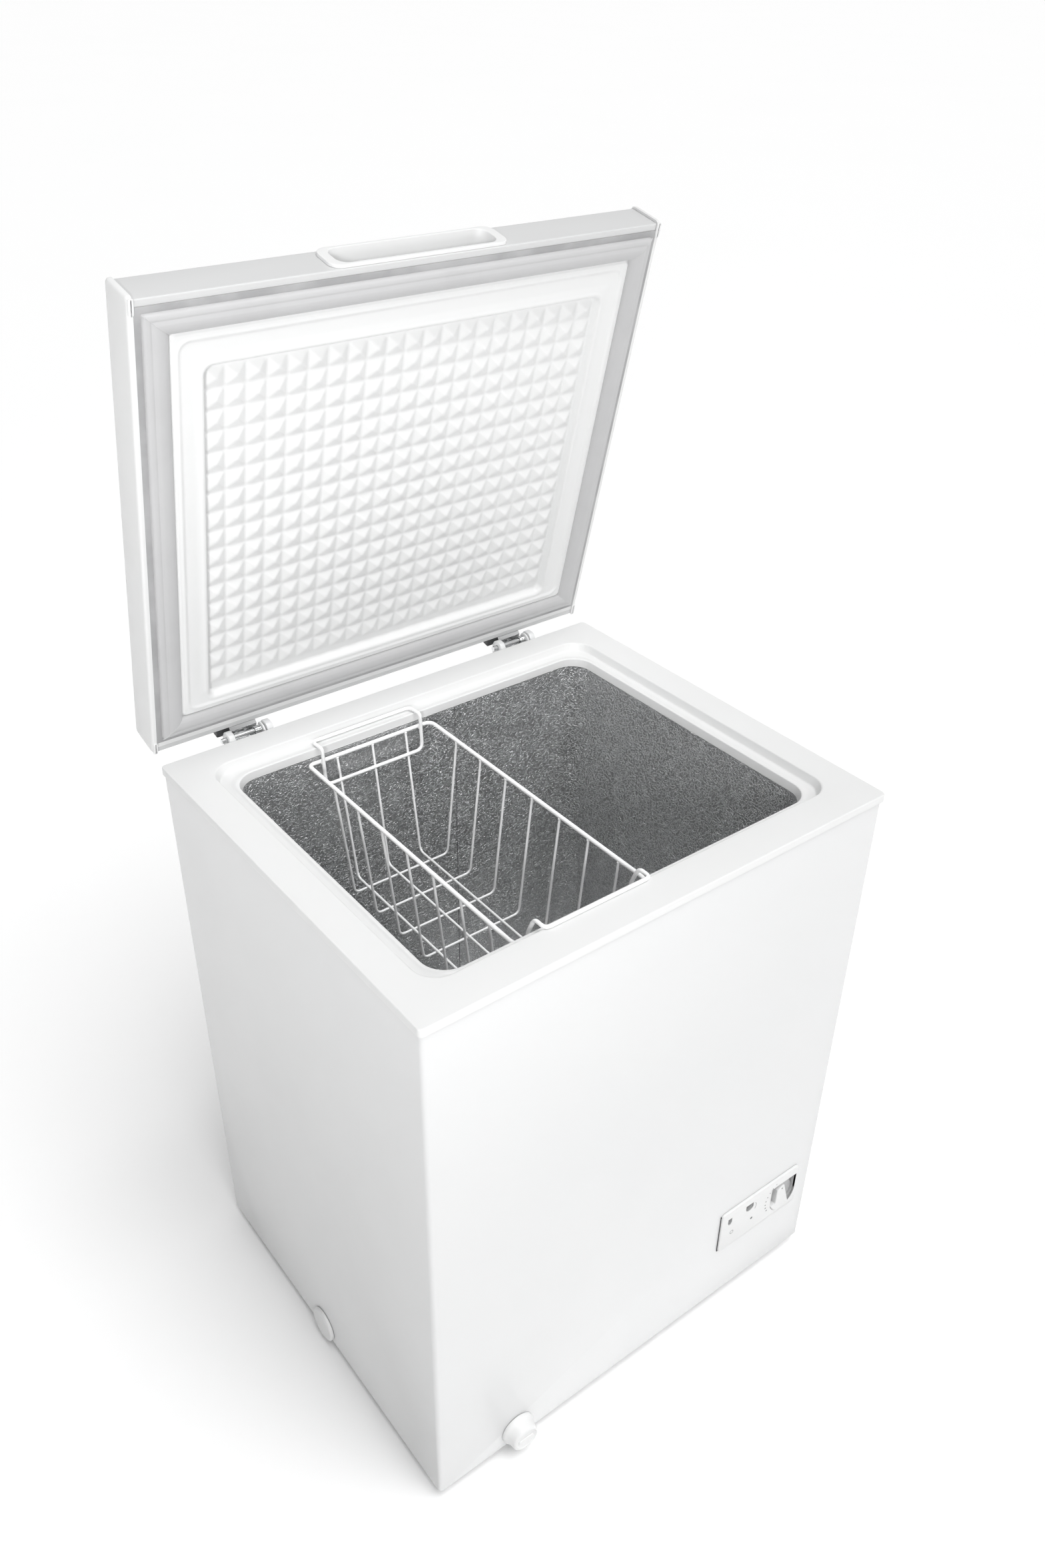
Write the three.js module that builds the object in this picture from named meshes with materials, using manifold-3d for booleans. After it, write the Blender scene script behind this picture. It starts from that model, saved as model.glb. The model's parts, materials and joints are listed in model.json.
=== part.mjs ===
// A small chest freezer with its lid open and one wire basket.
// Millimetres, +Z up, front at -Y. The floor is z = 0, and the origin is under the middle of the
// whole freezer as it stands with the lid open.
import * as THREE from 'three';
import { mergeVertices } from 'three/addons/utils/BufferGeometryUtils.js';
import Module from 'manifold-3d';

const wasm = await Module();
wasm.setup();

// ---------------------------------------------------------------- driving dimensions
const GAP = 0.3;                 // air kept between pieces that touch
const SET_BACK = -23;            // the cabinet's middle, from the middle of cabinet and open lid

const RIM = { x: 315, y: 267.5, top: 782, skirt: 10, plate: 3 };
const BODY = { x: 312.5, y: 265, bottom: 15, top: 778.5, sheet: 1, corner: 5 };
const INSIDE = { x: 309.6, front: -262.1, back: 263.4 };   // sheet pieces stay clear of the shell's corners
const MOUTH = { x: 254, front: -208, back: 208, corner: 28, edge: 762 };
const GROOVE = {
  outX: 272, outFront: -219.5, outBack: 228, inX: 261, inFront: -213, inBack: 215, floor: 771,
};
const LIP_TOP = 772.5;
const TUB = { floor: 75, wall: 1.2, stepX: 50, stepTop: 290 };
const FOAM_OFF = 14;                   // the foam stands off the tub here, with the evaporator between
const MACHINE = { x: 95, top: 246 };   // the compressor compartment's inner corner

const LID = { x: 313.5, front: -271, back: 272.5, under: 790.4, top: 834.4, sheet: 1, cap: 9, lip: 10 };
const LID_OPEN = 76.5 * Math.PI / 180;
const AXIS = { y: 279, z: 779 };       // the hinge pins' axis
const GASKET = { x: 304, front: -262, back: 256, width: 27, low: 782.4 };
const FIELD = { x: 243, front: -198, back: 213, roof: 797 };
const HANDLE = { x: 106, pocketX: 94, low: 797, high: 828, depth: 22, proud: 3 };
const HINGE_X = [-200, 200];

const BASKET = {
  left: -160, right: 14, front: -203, back: 203, top: 757,
  footLeft: -142, footRight: -4, footFront: -170, footBack: 167, foot: 594,
  wire: 1.5, frameWire: 2.5,
};
const HOOK = { left: -140, right: -1, low: 727, high: 776.2, seat: 774.6, wire: 2.2 };
const FRONT_HOOK = {
  left: -141, right: -4.5, straight: 760.5, neckY: -203.2, neck: 774, over: -209, rest: 784.5, bar: -225.5,
};
const CROSS_WIRES = { count: 7, firstY: 145, pitch: 50.5 };    // from the back to the front
const LONG_WIRES = { count: 3, firstX: -122, pitch: 48.5 };    // from the left to the right
const DRAIN = { x: -197, y: -150, z: 39, bore: 9, wall: 2 };
const SIDE_CAP = { y: 5, z: 35, r: 24, stem: 14.6 };
const PANEL = { left: 138, right: 284, low: 111, high: 184, proud: 3.2 };
const DIAL = { x: 257, z: 140, r: 24, depth: 10 };
const POWER_LENS = { x: 155, z: 162, width: 5, height: 11, corner: 2.2 };
const RUN_LENS = { x: 191, z: 164, width: 13, height: 12, corner: 4 };
const COMPRESSOR = { x: 203, y: 95, z: 40, r: 76, h: 165 };
const TRAY = { low: 15.3, high: 17.3 };
const DRIER_X = 290;
const INLET = { x: 270, z: 45, hole: 9 };
const FOOT = { x: 270, y: 225, r: 20, height: 15 };
const BRACKET = { half: 33, lug: 9, low: 700, high: 771, plate: 2.5 };
const PIN = { r: 3.2, length: 65, bracketBore: 3.5, leafBore: 3.6 };

// ---------------------------------------------------------------- materials
function finish(color, roughness, metalness) {
  return new THREE.MeshStandardMaterial({ color, roughness, metalness });
}
const WHITE_PAINT = finish(0xf6f7f7, 0.3, 0.1);
const WHITE_PLASTIC = finish(0xf4f5f5, 0.4, 0);
const BRIGHT_SHEET = finish(0xa9abad, 0.45, 0.9);
const ZINC = finish(0xb4b8ba, 0.5, 0.8);
const CHROME = finish(0xd8dadc, 0.12, 1);
const GREY_RUBBER = finish(0xc3c4c5, 0.7, 0);
const BLACK_RUBBER = finish(0x1b1c1d, 0.8, 0);
const BLACK_PLASTIC = finish(0x202223, 0.5, 0);
const BLACK_PAINT = finish(0x17181a, 0.4, 0.3);
const FOAM = finish(0xe6d9a8, 0.95, 0);
const COPPER = finish(0xb9764a, 0.35, 0.9);
const WIRE_COAT = finish(0xfbfbfb, 0.35, 0);
const SMOKED_LENS = finish(0x2b2d2e, 0.15, 0);

// ---------------------------------------------------------------- shape helpers
function solidOf(geometry) {
  const bare = geometry.index ? geometry.toNonIndexed() : geometry.clone();
  bare.deleteAttribute('normal');
  bare.deleteAttribute('uv');
  const merged = mergeVertices(bare, 1e-4);
  const vertProperties = new Float32Array(merged.attributes.position.array);
  const triVerts = new Uint32Array(merged.index.array);
  return new wasm.Manifold(new wasm.Mesh({ numProp: 3, vertProperties, triVerts }));
}

function geometryOf(manifold) {
  const mesh = manifold.getMesh();
  const geometry = new THREE.BufferGeometry();
  geometry.setAttribute('position', new THREE.BufferAttribute(new Float32Array(mesh.vertProperties), 3));
  geometry.setIndex(new THREE.BufferAttribute(new Uint32Array(mesh.triVerts), 1));
  geometry.computeVertexNormals();
  return geometry;
}

function join(...geometries) {
  const [first, ...rest] = geometries.map(solidOf);
  return geometryOf(rest.reduce((whole, next) => whole.add(next), first));
}

function cut(geometry, ...tools) {
  return geometryOf(tools.map(solidOf).reduce((whole, tool) => whole.subtract(tool), solidOf(geometry)));
}

function block(x0, x1, y0, y1, z0, z1) {
  const box = new THREE.BoxGeometry(x1 - x0, y1 - y0, z1 - z0);
  return box.translate((x0 + x1) / 2, (y0 + y1) / 2, (z0 + z1) / 2);
}

// A rectangle from corner to corner with its corners rounded to radius r.
function roundedRect(u0, u1, v0, v1, r) {
  const shape = new THREE.Shape();
  shape.moveTo(u0 + r, v0);
  shape.lineTo(u1 - r, v0);
  shape.absarc(u1 - r, v0 + r, r, -Math.PI / 2, 0, false);
  shape.lineTo(u1, v1 - r);
  shape.absarc(u1 - r, v1 - r, r, 0, Math.PI / 2, false);
  shape.lineTo(u0 + r, v1);
  shape.absarc(u0 + r, v1 - r, r, Math.PI / 2, Math.PI, false);
  shape.lineTo(u0, v0 + r);
  shape.absarc(u0 + r, v0 + r, r, Math.PI, Math.PI * 1.5, false);
  return shape;
}

function outline(points) {
  return new THREE.Shape(points.map(([u, v]) => new THREE.Vector2(u, v)));
}

// An outline in plan (x, y), raised from z0 to z1.
function riseZ(shape, z0, z1, curveSegments = 4) {
  const geometry = new THREE.ExtrudeGeometry(shape, { depth: z1 - z0, bevelEnabled: false, curveSegments });
  return geometry.translate(0, 0, z0);
}

// An outline seen from the side (y, z), run along x from x0 to x1.
function runX(shape, x0, x1, curveSegments = 3) {
  const geometry = new THREE.ExtrudeGeometry(shape, { depth: x1 - x0, bevelEnabled: false, curveSegments });
  const turn = new THREE.Matrix4().makeBasis(
    new THREE.Vector3(0, 1, 0), new THREE.Vector3(0, 0, 1), new THREE.Vector3(1, 0, 0));
  return geometry.applyMatrix4(turn).translate(x0, 0, 0);
}

// An outline seen from the front (x, z), run along y from y0 to y1.
function runY(shape, y0, y1, curveSegments = 3) {
  const geometry = new THREE.ExtrudeGeometry(shape, { depth: y1 - y0, bevelEnabled: false, curveSegments });
  return geometry.rotateX(Math.PI / 2).translate(0, y1, 0);
}

function planRect(x0, x1, y0, y1, r, z0, z1) {
  return riseZ(roundedRect(x0, x1, y0, y1, r), z0, z1);
}

// A turned piece: radii and heights from the axis out and back to it, its axis along +Z.
function turned(points, sides = 20) {
  return new THREE.LatheGeometry(points.map(([r, h]) => new THREE.Vector2(r, h)), sides).rotateX(Math.PI / 2);
}

function cylinderAlong(axis, r, length, sides = 20) {
  const geometry = new THREE.CylinderGeometry(r, r, length, sides);
  if (axis === 'x') geometry.rotateZ(Math.PI / 2);
  if (axis === 'z') geometry.rotateX(Math.PI / 2);
  return geometry;
}

// A line through points given one by one, which a tube follows exactly.
class PointPath extends THREE.Curve {
  constructor(points) {
    super();
    this.points = points;
  }

  getPoint(t, target = new THREE.Vector3()) {
    return target.copy(this.points[Math.round(t * (this.points.length - 1))]);
  }

  getPointAt(u, target) {
    return this.getPoint(u, target);
  }

  getTangentAt(u, target = new THREE.Vector3()) {
    const i = Math.round(u * (this.points.length - 1));
    const before = this.points[Math.max(i - 1, 0)];
    const here = this.points[i];
    const after = this.points[Math.min(i + 1, this.points.length - 1)];
    const into = new THREE.Vector3().subVectors(here, before).normalize();
    const out = new THREE.Vector3().subVectors(after, here).normalize();
    return target.addVectors(into, out).normalize();
  }
}

// Straight runs between the corners, with each inner corner rounded to about the radius given.
function bentLine(corners, radius, steps = 2) {
  const points = corners.map(([x, y, z]) => new THREE.Vector3(x, y, z));
  const line = [points[0]];
  for (let i = 1; i < points.length - 1; i += 1) {
    const reachIn = Math.min(radius, points[i].distanceTo(points[i - 1]) / 2.2);
    const reachOut = Math.min(radius, points[i].distanceTo(points[i + 1]) / 2.2);
    const from = points[i].clone().lerp(points[i - 1], reachIn / points[i].distanceTo(points[i - 1]));
    const to = points[i].clone().lerp(points[i + 1], reachOut / points[i].distanceTo(points[i + 1]));
    line.push(...new THREE.QuadraticBezierCurve3(from, points[i], to).getPoints(steps));
  }
  line.push(points[points.length - 1]);
  return line;
}

function disc(r, sides) {
  const points = [];
  for (let i = 0; i < sides; i += 1) {
    const a = (i + 0.5) * 2 * Math.PI / sides;
    points.push([r * Math.cos(a), r * Math.sin(a)]);
  }
  return outline(points);
}

function tubeAlong(line, r, sides = 8, bore = 0) {
  const section = disc(r, sides);
  if (bore > 0) section.holes.push(disc(bore, sides));
  return new THREE.ExtrudeGeometry(section, {
    steps: line.length - 1, bevelEnabled: false, extrudePath: new PointPath(line),
  });
}

function rod(corners, radius, r, sides = 8, steps = 2) {
  return tubeAlong(bentLine(corners, radius, steps), r, sides);
}

function place(group, name, geometry, material) {
  const mesh = new THREE.Mesh(geometry, material);
  mesh.name = name;
  group.add(mesh);
  return mesh;
}

// ---------------------------------------------------------------- cabinet
function outerShell() {
  const { x, y, bottom, top, sheet, corner } = BODY;
  const full = planRect(-x, x, -y, y + corner * 2, corner, bottom, top);
  const inside = planRect(
    -x + sheet, x - sheet, -y + sheet, y + corner * 3, corner - sheet, bottom - 1, top + 1);
  const behind = block(-x - 1, x + 1, y, y + corner * 4, bottom - 1, top + 1);
  const panelHole = block(PANEL.left + 7, PANEL.right - 1.5, -y - 2, -y + 4, PANEL.low + 2.5, PANEL.high - 7);
  const drainHole = cylinderAlong('y', 13, 8).translate(DRAIN.x, -y, DRAIN.z);
  const capHole = cylinderAlong('x', SIDE_CAP.stem + 0.4, 8).translate(-x, SIDE_CAP.y, SIDE_CAP.z);
  return cut(full, inside, behind, panelHole, drainHole, capHole);
}

function backPanel() {
  const { x, y, bottom, top } = BODY;
  const edge = x - 1.3;
  const sheet = outline([
    [-edge, bottom], [MACHINE.x, bottom], [MACHINE.x, MACHINE.top + 4],
    [edge, MACHINE.top + 4], [edge, top], [-edge, top],
  ]);
  return runY(sheet, y - 1.2, y);
}

function basePan() {
  return block(-INSIDE.x, MACHINE.x - 0.5, INSIDE.front, INSIDE.back, 15.3, 16.5);
}

function machineWall() {
  const { x, top } = MACHINE;
  const sheet = outline([
    [x, 18], [x + 1, 18], [x + 1, top], [INSIDE.x, top], [INSIDE.x, top + 1], [x, top + 1],
  ]);
  return runY(sheet, INSIDE.front, INSIDE.back);
}

function rimFrame() {
  const { x, y, top, skirt, plate } = RIM;
  const g = GROOVE;
  const slab = planRect(-x, x, -y, y, 5, top - skirt, top);
  const underSlab = planRect(
    -x + 2.2, x - 2.2, -y + 2.2, y - 2.2, 0.4, top - skirt - 1, top - plate);
  const well = planRect(-g.outX, g.outX, g.outFront, g.outBack, 30, top - skirt - 2, top + 1);
  const flange = cut(slab, underSlab, well);
  const troughOuter = planRect(
    -g.outX - 2, g.outX + 2, g.outFront - 2, g.outBack + 2, 32, g.floor - 3, top - plate + 0.5);
  const troughInner = planRect(-g.outX, g.outX, g.outFront, g.outBack, 30, g.floor, top + 1);
  const trough = cut(troughOuter, troughInner);
  const lip = planRect(-g.inX, g.inX, g.inFront, g.inBack, 31, MOUTH.edge, LIP_TOP);
  const mouth = planRect(
    -MOUTH.x, MOUTH.x, MOUTH.front, MOUTH.back, MOUTH.corner, MOUTH.edge - 20, top + 5);
  return cut(join(flange, trough, lip), mouth);
}

// The tub's outside and inside differ only in how far they stand off the mouth's outline.
function tubBody(off, low, high) {
  const m = MOUTH;
  const walls = planRect(
    -m.x - off, m.x + off, m.front - off, m.back + off, m.corner + off, TUB.floor - low, high);
  const step = block(TUB.stepX + off, m.x + 60, m.front - 60, m.back + 60, TUB.floor - 60, TUB.stepTop - off);
  return cut(walls, step);
}

function innerLiner() {
  const outside = tubBody(TUB.wall, TUB.wall, MOUTH.edge - GAP);
  const inside = tubBody(0, 0, MOUTH.edge + 10);
  const drainHole = cylinderAlong('z', 12, 10).translate(DRAIN.x, DRAIN.y, TUB.floor);
  return cut(outside, inside, drainHole);
}

function drainLine(off) {
  return tubeAlong(bentLine([
    [DRAIN.x, DRAIN.y, TUB.floor - TUB.wall - GAP], [DRAIN.x, DRAIN.y, DRAIN.z], [DRAIN.x, -BODY.y, DRAIN.z],
  ], 14), DRAIN.bore + DRAIN.wall + off, 12, off > 0 ? 0 : DRAIN.bore);
}

function insulationFoam() {
  const outside = planRect(-305, 305, -257.5, 256.5, 4, 17, 764);
  const aroundTub = tubBody(FOAM_OFF, FOAM_OFF, 800);
  const machineRoom = block(MACHINE.x - GAP, 320, -270, 270, 0, MACHINE.top + 1 + GAP);
  return cut(outside, aroundTub, machineRoom, drainLine(GAP + 0.2));
}

// The evaporator winds down round the tub between its wall and the foam.
function evaporatorTube() {
  const turns = 4;
  const top = 735;
  const pitch = 100;
  const off = 6.6;
  const x = MOUTH.x + off;
  const front = MOUTH.front - off;
  const back = MOUTH.back + off;
  const corners = [];
  for (let turn = 0; turn < turns; turn += 1) {
    const ring = [[-x, back], [x, back], [x, front], [-x, front]];
    ring.forEach(([cx, cy], i) => corners.push([cx, cy, top - pitch * (turn + i / 4)]));
  }
  corners[0][0] += 60;
  corners[corners.length - 1][0] += 60;
  return rod(corners, 38, 4, 5, 4);
}

function condenserTube() {
  const passes = 6;
  const corners = [];
  for (let i = 0; i < passes; i += 1) {
    const x = -270 + i * 108;
    const down = [[x, 260, 745], [x, 260, 300]];
    corners.push(...(i % 2 ? down.reverse() : down));
  }
  return rod(corners, 24, 2.4, 5);
}

function compressorShell() {
  const { x, y, z, r, h } = COMPRESSOR;
  const half = [
    [0, 0], [r * 0.8, 0], [r * 0.98, 18], [r, 34], [r, 92], [r * 0.93, 124], [r * 0.64, h - 8], [0, h],
  ];
  return turned(half, 24).translate(x, y, z);
}

function compressorTray() {
  return block(MACHINE.x + 0.2, INSIDE.x, INSIDE.front, INSIDE.back, TRAY.low, TRAY.high);
}

function terminalCover() {
  const { x, y, z, r } = COMPRESSOR;
  return block(x - r - 22, x - r - 1, y - 26, y + 26, z + 32, z + 82);
}

const GROMMET_AT = [[-78, -48], [78, -48], [-78, 48], [78, 48]];

function compressorBase() {
  const { x, y, z } = COMPRESSOR;
  const plate = planRect(x - 92, x + 92, y - 62, y + 62, 12, z - 3.3, z - GAP);
  const holes = GROMMET_AT.map(([dx, dy]) => cylinderAlong('z', 4, 10, 12).translate(x + dx, y + dy, z - 2));
  return cut(plate, ...holes);
}

function grommet([dx, dy]) {
  const low = TRAY.high + GAP;
  const h = COMPRESSOR.z - 3.3 - GAP - low;
  const ring = turned([[3.5, 0], [11, 0], [11, 5], [8, 7], [8, h - 3], [10, h], [3.5, h], [3.5, 0]], 10);
  return ring.translate(COMPRESSOR.x + dx, COMPRESSOR.y + dy, low);
}

function rearGrille() {
  const { x, top } = MACHINE;
  const plate = block(x + GAP, BODY.x - 1.3, BODY.y - 1.2, BODY.y, 18, top + 3.7);
  const slots = [];
  for (let i = 0; i < 9; i += 1) {
    const z = 78 + i * 17;
    slots.push(block(x + 32, BODY.x - 34, BODY.y - 4, BODY.y + 3, z, z + 6));
  }
  const inletHole = cylinderAlong('y', INLET.hole, 8, 16).translate(INLET.x, BODY.y, INLET.z);
  return cut(plate, ...slots, inletHole);
}

function cordInlet() {
  const bush = turned([[4, 0], [13, 0], [13, 4], [9, 9], [9, 14], [4, 14], [4, 0]], 16);
  const sleeve = turned([[4, -10], [8.6, -10], [8.6, 1], [4, 1], [4, -10]], 16);
  return join(bush, sleeve).rotateX(-Math.PI / 2).translate(INLET.x, BODY.y + GAP, INLET.z);
}

function foot() {
  const { r, height } = FOOT;
  return turned([[0, 0], [r - 3, 0], [r, 2], [r, height - 5], [r - 5, height], [0, height]], 16);
}

function sideCap() {
  const { r, stem, y, z } = SIDE_CAP;
  const neck = 5.5;
  const cap = turned([
    [0, 0], [stem - 2.6, 0], [stem, 1.5], [stem, neck], [r, neck], [r, neck + 3.5], [r - 3, neck + 6],
    [0, neck + 6],
  ], 20);
  return cap.rotateY(-Math.PI / 2).translate(-BODY.x + neck - GAP, y, z);
}

function drainCap() {
  const { bore } = DRAIN;
  const stem = bore - 0.5;
  const stemLength = 18;
  const cap = turned([
    [0, 0], [stem - 1, 0], [stem, 2], [stem, stemLength], [23, stemLength], [23, 23], [19, 25], [19, 36],
    [17, 38], [0, 38],
  ], 20);
  return cap.rotateX(Math.PI / 2).translate(DRAIN.x, -BODY.y + stemLength - GAP, DRAIN.z);
}

function drainPlug() {
  const stem = DRAIN.bore - 0.6;
  return turned([[0, -22], [stem, -22], [stem, GAP], [18, GAP], [18, 3], [7, 4], [7, 10], [0, 10]], 20)
    .translate(DRAIN.x, DRAIN.y, TUB.floor);
}

function controlPanel() {
  const face = -BODY.y - GAP;
  const front = face - PANEL.proud;
  const plate = runY(roundedRect(PANEL.left, PANEL.right, PANEL.low, PANEL.high, 6), front, face);
  const cup = cylinderAlong('y', DIAL.r + 1.3, DIAL.depth - 1, 24)
    .translate(DIAL.x, front + 2 + (DIAL.depth - 1) / 2, DIAL.z);
  const well = cylinderAlong('y', DIAL.r, DIAL.depth, 24)
    .translate(DIAL.x, front + DIAL.depth / 2 - 1, DIAL.z);
  const shaftHole = cylinderAlong('y', 3.6, 40, 12).translate(DIAL.x, front, DIAL.z);
  const lensHoles = [POWER_LENS, RUN_LENS].map((spot) => runY(lensShape(spot, GAP), front - 5, face + 5));
  return cut(join(plate, cup), well, shaftHole, ...lensHoles);
}

function lensShape({ x, z, width, height, corner }, off) {
  const u = width / 2 + off;
  const v = height / 2 + off;
  return roundedRect(x - u, x + u, z - v, z + v, corner + off);
}

function lens(place2d) {
  const face = -BODY.y - GAP;
  return runY(lensShape(place2d, 0), face - PANEL.proud - 0.4, face);
}

function thermostatKnob() {
  const floor = -BODY.y - GAP - PANEL.proud + DIAL.depth - 1;
  const dial = cylinderAlong('y', DIAL.r - 1.2, 2.4, 24).translate(0, -1.2 - GAP, 0);
  const grip = runY(roundedRect(-6, 6, -DIAL.r + 3, DIAL.r - 3, 5), -DIAL.depth, -2);
  const shaft = cylinderAlong('y', 3, 12, 12).translate(0, 4, 0);
  return join(dial, grip, shaft).rotateY(-0.12).translate(DIAL.x, floor, DIAL.z);
}

function thermostatBody() {
  const back = -BODY.y - GAP - PANEL.proud + DIAL.depth + 11;
  return block(DIAL.x - 17, DIAL.x + 17, back, back + 22, DIAL.z - 20, DIAL.z + 20);
}

function suctionLine() {
  const { x, y, z, r } = COMPRESSOR;
  return rod([
    [x - 20, y - r - 1, z + 90], [x - 20, y - r - 40, z + 90], [x - 60, y - r - 90, z + 120],
    [x - 60, y - r - 90, MACHINE.top - 4],
  ], 20, 4);
}

function dischargeLine() {
  const { x, y, z, r } = COMPRESSOR;
  const outY = y + r + 30;
  return rod([
    [x + 30, y + r + 1, z + 60], [x + 30, outY, z + 60], [DRIER_X, outY, z + 60], [DRIER_X, outY, z + 118],
  ], 16, 2.6);
}

function filterDrier() {
  const { y, z, r } = COMPRESSOR;
  return turned([[0, 0], [3, 0], [9, 10], [9, 68], [3, 78], [0, 78]], 14)
    .translate(DRIER_X, y + r + 30, z + 119);
}

// A cast lug that holds one end of the hinge pin, above a plate screwed to the cabinet's back.
function hingeBracket(x) {
  const { half, lug, low, high, plate } = BRACKET;
  const back = BODY.y + GAP;
  const clear = RIM.y + 0.8;
  const sheet = block(x - half, x + half, back, back + plate, low, high);
  const side = outline([
    [back, low + 35], [back, high], [clear, high], [clear, AXIS.z], [clear + 2.7, 785.5],
    [AXIS.y - 4, 787.3], [AXIS.y, 788], [AXIS.y + 4, 787.3], [AXIS.y + 8, 785], [AXIS.y + 10, AXIS.z],
    [AXIS.y + 9, 762], [AXIS.y - 7, low + 35],
  ]);
  const lugs = [runX(side, x - half, x - half + lug), runX(side, x + half - lug, x + half)];
  const pinHole = cylinderAlong('x', PIN.bracketBore, 90, 16).translate(x, AXIS.y, AXIS.z);
  return cut(join(sheet, ...lugs), pinHole);
}

function hingePin(x) {
  return cylinderAlong('x', PIN.r, PIN.length, 16).translate(x, AXIS.y, AXIS.z);
}

// ---------------------------------------------------------------- lid, drawn as if closed
function lidSkin() {
  const { front, back, under, top, sheet, lip } = LID;
  const section = outline([
    [front, under], [front + lip, under], [front + lip, under + sheet], [front + sheet, under + sheet],
    [front + sheet, top - sheet], [back - sheet, top - sheet], [back - sheet, under + sheet],
    [back - lip, under + sheet], [back - lip, under], [back, under], [back, top], [front, top],
  ]);
  const bent = runX(section, -LID.x + LID.cap + GAP, LID.x - LID.cap - GAP);
  const gripHole = block(
    -HANDLE.pocketX - 2, HANDLE.pocketX + 2, front - 5, front + 5, HANDLE.low - 2, HANDLE.high + 2);
  return cut(bent, gripHole);
}

function lidEndCap(side) {
  const { front, back, under, top, cap } = LID;
  const inner = LID.x - cap;
  const bar = runX(roundedRect(front - 2.7, back + 1, under - 1, top + 1, 5), inner, LID.x);
  const tab = (y0, y1) => planRect(inner - 0.2, inner + 5, y0, y1, 2.2, under - 1.6, under - GAP);
  const whole = join(bar, tab(front - 1, front + 20), tab(back - 20, back));
  return side < 0 ? mirrored(whole) : whole;
}

// The same piece on the other side, with its faces turned the right way out again.
function mirrored(geometry) {
  const flipped = geometry.clone().scale(-1, 1, 1);
  const order = flipped.index.array;
  for (let i = 0; i < order.length; i += 3) [order[i], order[i + 1]] = [order[i + 1], order[i]];
  return flipped;
}

function lidLiner() {
  const { under } = LID;
  const g = GASKET;
  const inX = g.x - g.width - GAP;
  const inFront = g.front + g.width + GAP;
  const inBack = g.back - g.width - GAP;
  const hidden = planRect(-g.x, g.x, g.front + 1.5, g.back + 6, 4, under + GAP, under + 1.5);
  const frame = planRect(-inX, inX, inFront, inBack, 10, under - 2.8, under + 1.5);
  const walls = planRect(
    -FIELD.x - 1.5, FIELD.x + 1.5, FIELD.front - 1.5, FIELD.back + 1.5, 11, under, FIELD.roof + 1.5);
  const field = planRect(-FIELD.x, FIELD.x, FIELD.front, FIELD.back, 10, under - 5, FIELD.roof);
  return cut(join(hidden, frame, walls), field);
}

function lidGasket() {
  const { x, front, back, width, low } = GASKET;
  const base = planRect(-x, x, front, back, 3, low + 4, LID.under - GAP);
  const bulb = planRect(-x + 6, x - 6, front + 6, back - 6, 3, low, low + 4.5);
  const inside = planRect(-x + width, x - width, front + width, back - width, 3, low - 1, LID.under + 1);
  return cut(join(base, bulb), inside);
}

function lidFoam() {
  const { front, back, under, top, sheet } = LID;
  const inner = LID.x - LID.cap - GAP * 2;
  const full = block(-inner, inner, front + sheet + GAP, back - sheet - GAP, under + 1.8, top - sheet - GAP);
  const field = planRect(
    -FIELD.x - 2, FIELD.x + 2, FIELD.front - 2, FIELD.back + 2, 11, under, FIELD.roof + 1.8);
  const pocket = block(-HANDLE.pocketX - 2.2, HANDLE.pocketX + 2.2, front - 5, front + HANDLE.depth + 2,
    HANDLE.low - 2.2, HANDLE.high + 2.2);
  return cut(full, field, pocket);
}

function lidHandle() {
  const { x, pocketX, low, high, depth, proud } = HANDLE;
  const face = LID.front - GAP;
  const bezel = runY(roundedRect(-x, x, LID.under + 1.5, LID.top - 1.5, 12), face - proud, face);
  const cup = runY(
    roundedRect(-pocketX - 1.5, pocketX + 1.5, low - 1.5, high + 1.5, 8), face - 1, face + depth);
  const pocket = runY(roundedRect(-pocketX, pocketX, low, high, 12), face - proud - 1, face + depth - 1.5);
  return cut(join(bezel, cup), pocket);
}

function hingeLeaf(x) {
  const barrel = cylinderAlong('x', 6.5, 28, 20).translate(x + 9, AXIS.y, AXIS.z);
  const foldedUp = block(x - 23, x + 23, LID.back + GAP, LID.back + 2.8, AXIS.z + 12.5, LID.top - 6);
  const neck = block(x - 5, x + 23, LID.back + GAP, LID.back + 2.8, AXIS.z - 1, LID.top - 20);
  const bore = cylinderAlong('x', PIN.leafBore, 90, 16).translate(x, AXIS.y, AXIS.z);
  return cut(join(barrel, foldedUp, neck), bore);
}

function hingeSpring(x) {
  const line = [];
  const turns = 4;
  const perTurn = 7;
  for (let i = 0; i <= turns * perTurn; i += 1) {
    const a = i * 2 * Math.PI / perTurn;
    line.push(new THREE.Vector3(x - 21.5 + 14 * i / (turns * perTurn),
      AXIS.y + 5.2 * Math.cos(a), AXIS.z + 5.2 * Math.sin(a)));
  }
  return tubeAlong(line, 0.9, 5);
}

function hingeCover(x) {
  const back = LID.back + 3.1;
  const shape = outline([
    [back, 793], [back, LID.top - 4], [back + 3, LID.top - 4], [back + 9, 800], [back + 9, 793],
  ]);
  return runX(shape, x - 37, x + 37);
}

// ---------------------------------------------------------------- basket
// A ring of wire is two half rings that run into each other along straight stretches.
function wireLoop(corners, radius, r, sides) {
  const count = corners.length;
  const middle = (a, b, t) => a.map((value, i) => value + (b[i] - value) * t);
  const half = (start) => {
    const line = [middle(corners[start], corners[(start + 1) % count], 0.45)];
    for (let i = 1; i <= count / 2; i += 1) line.push(corners[(start + i) % count]);
    const last = (start + count / 2) % count;
    line.push(middle(corners[last], corners[(last + 1) % count], 0.55));
    return rod(line, radius, r, sides);
  };
  return join(half(0), half(count / 2));
}

function basketFrame(off = 0) {
  const { left, right, front, back, top, frameWire } = BASKET;
  const corners = [[left, front, top], [right, front, top], [right, back, top], [left, back, top]];
  return wireLoop(corners, 16, frameWire + off, 8);
}

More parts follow.
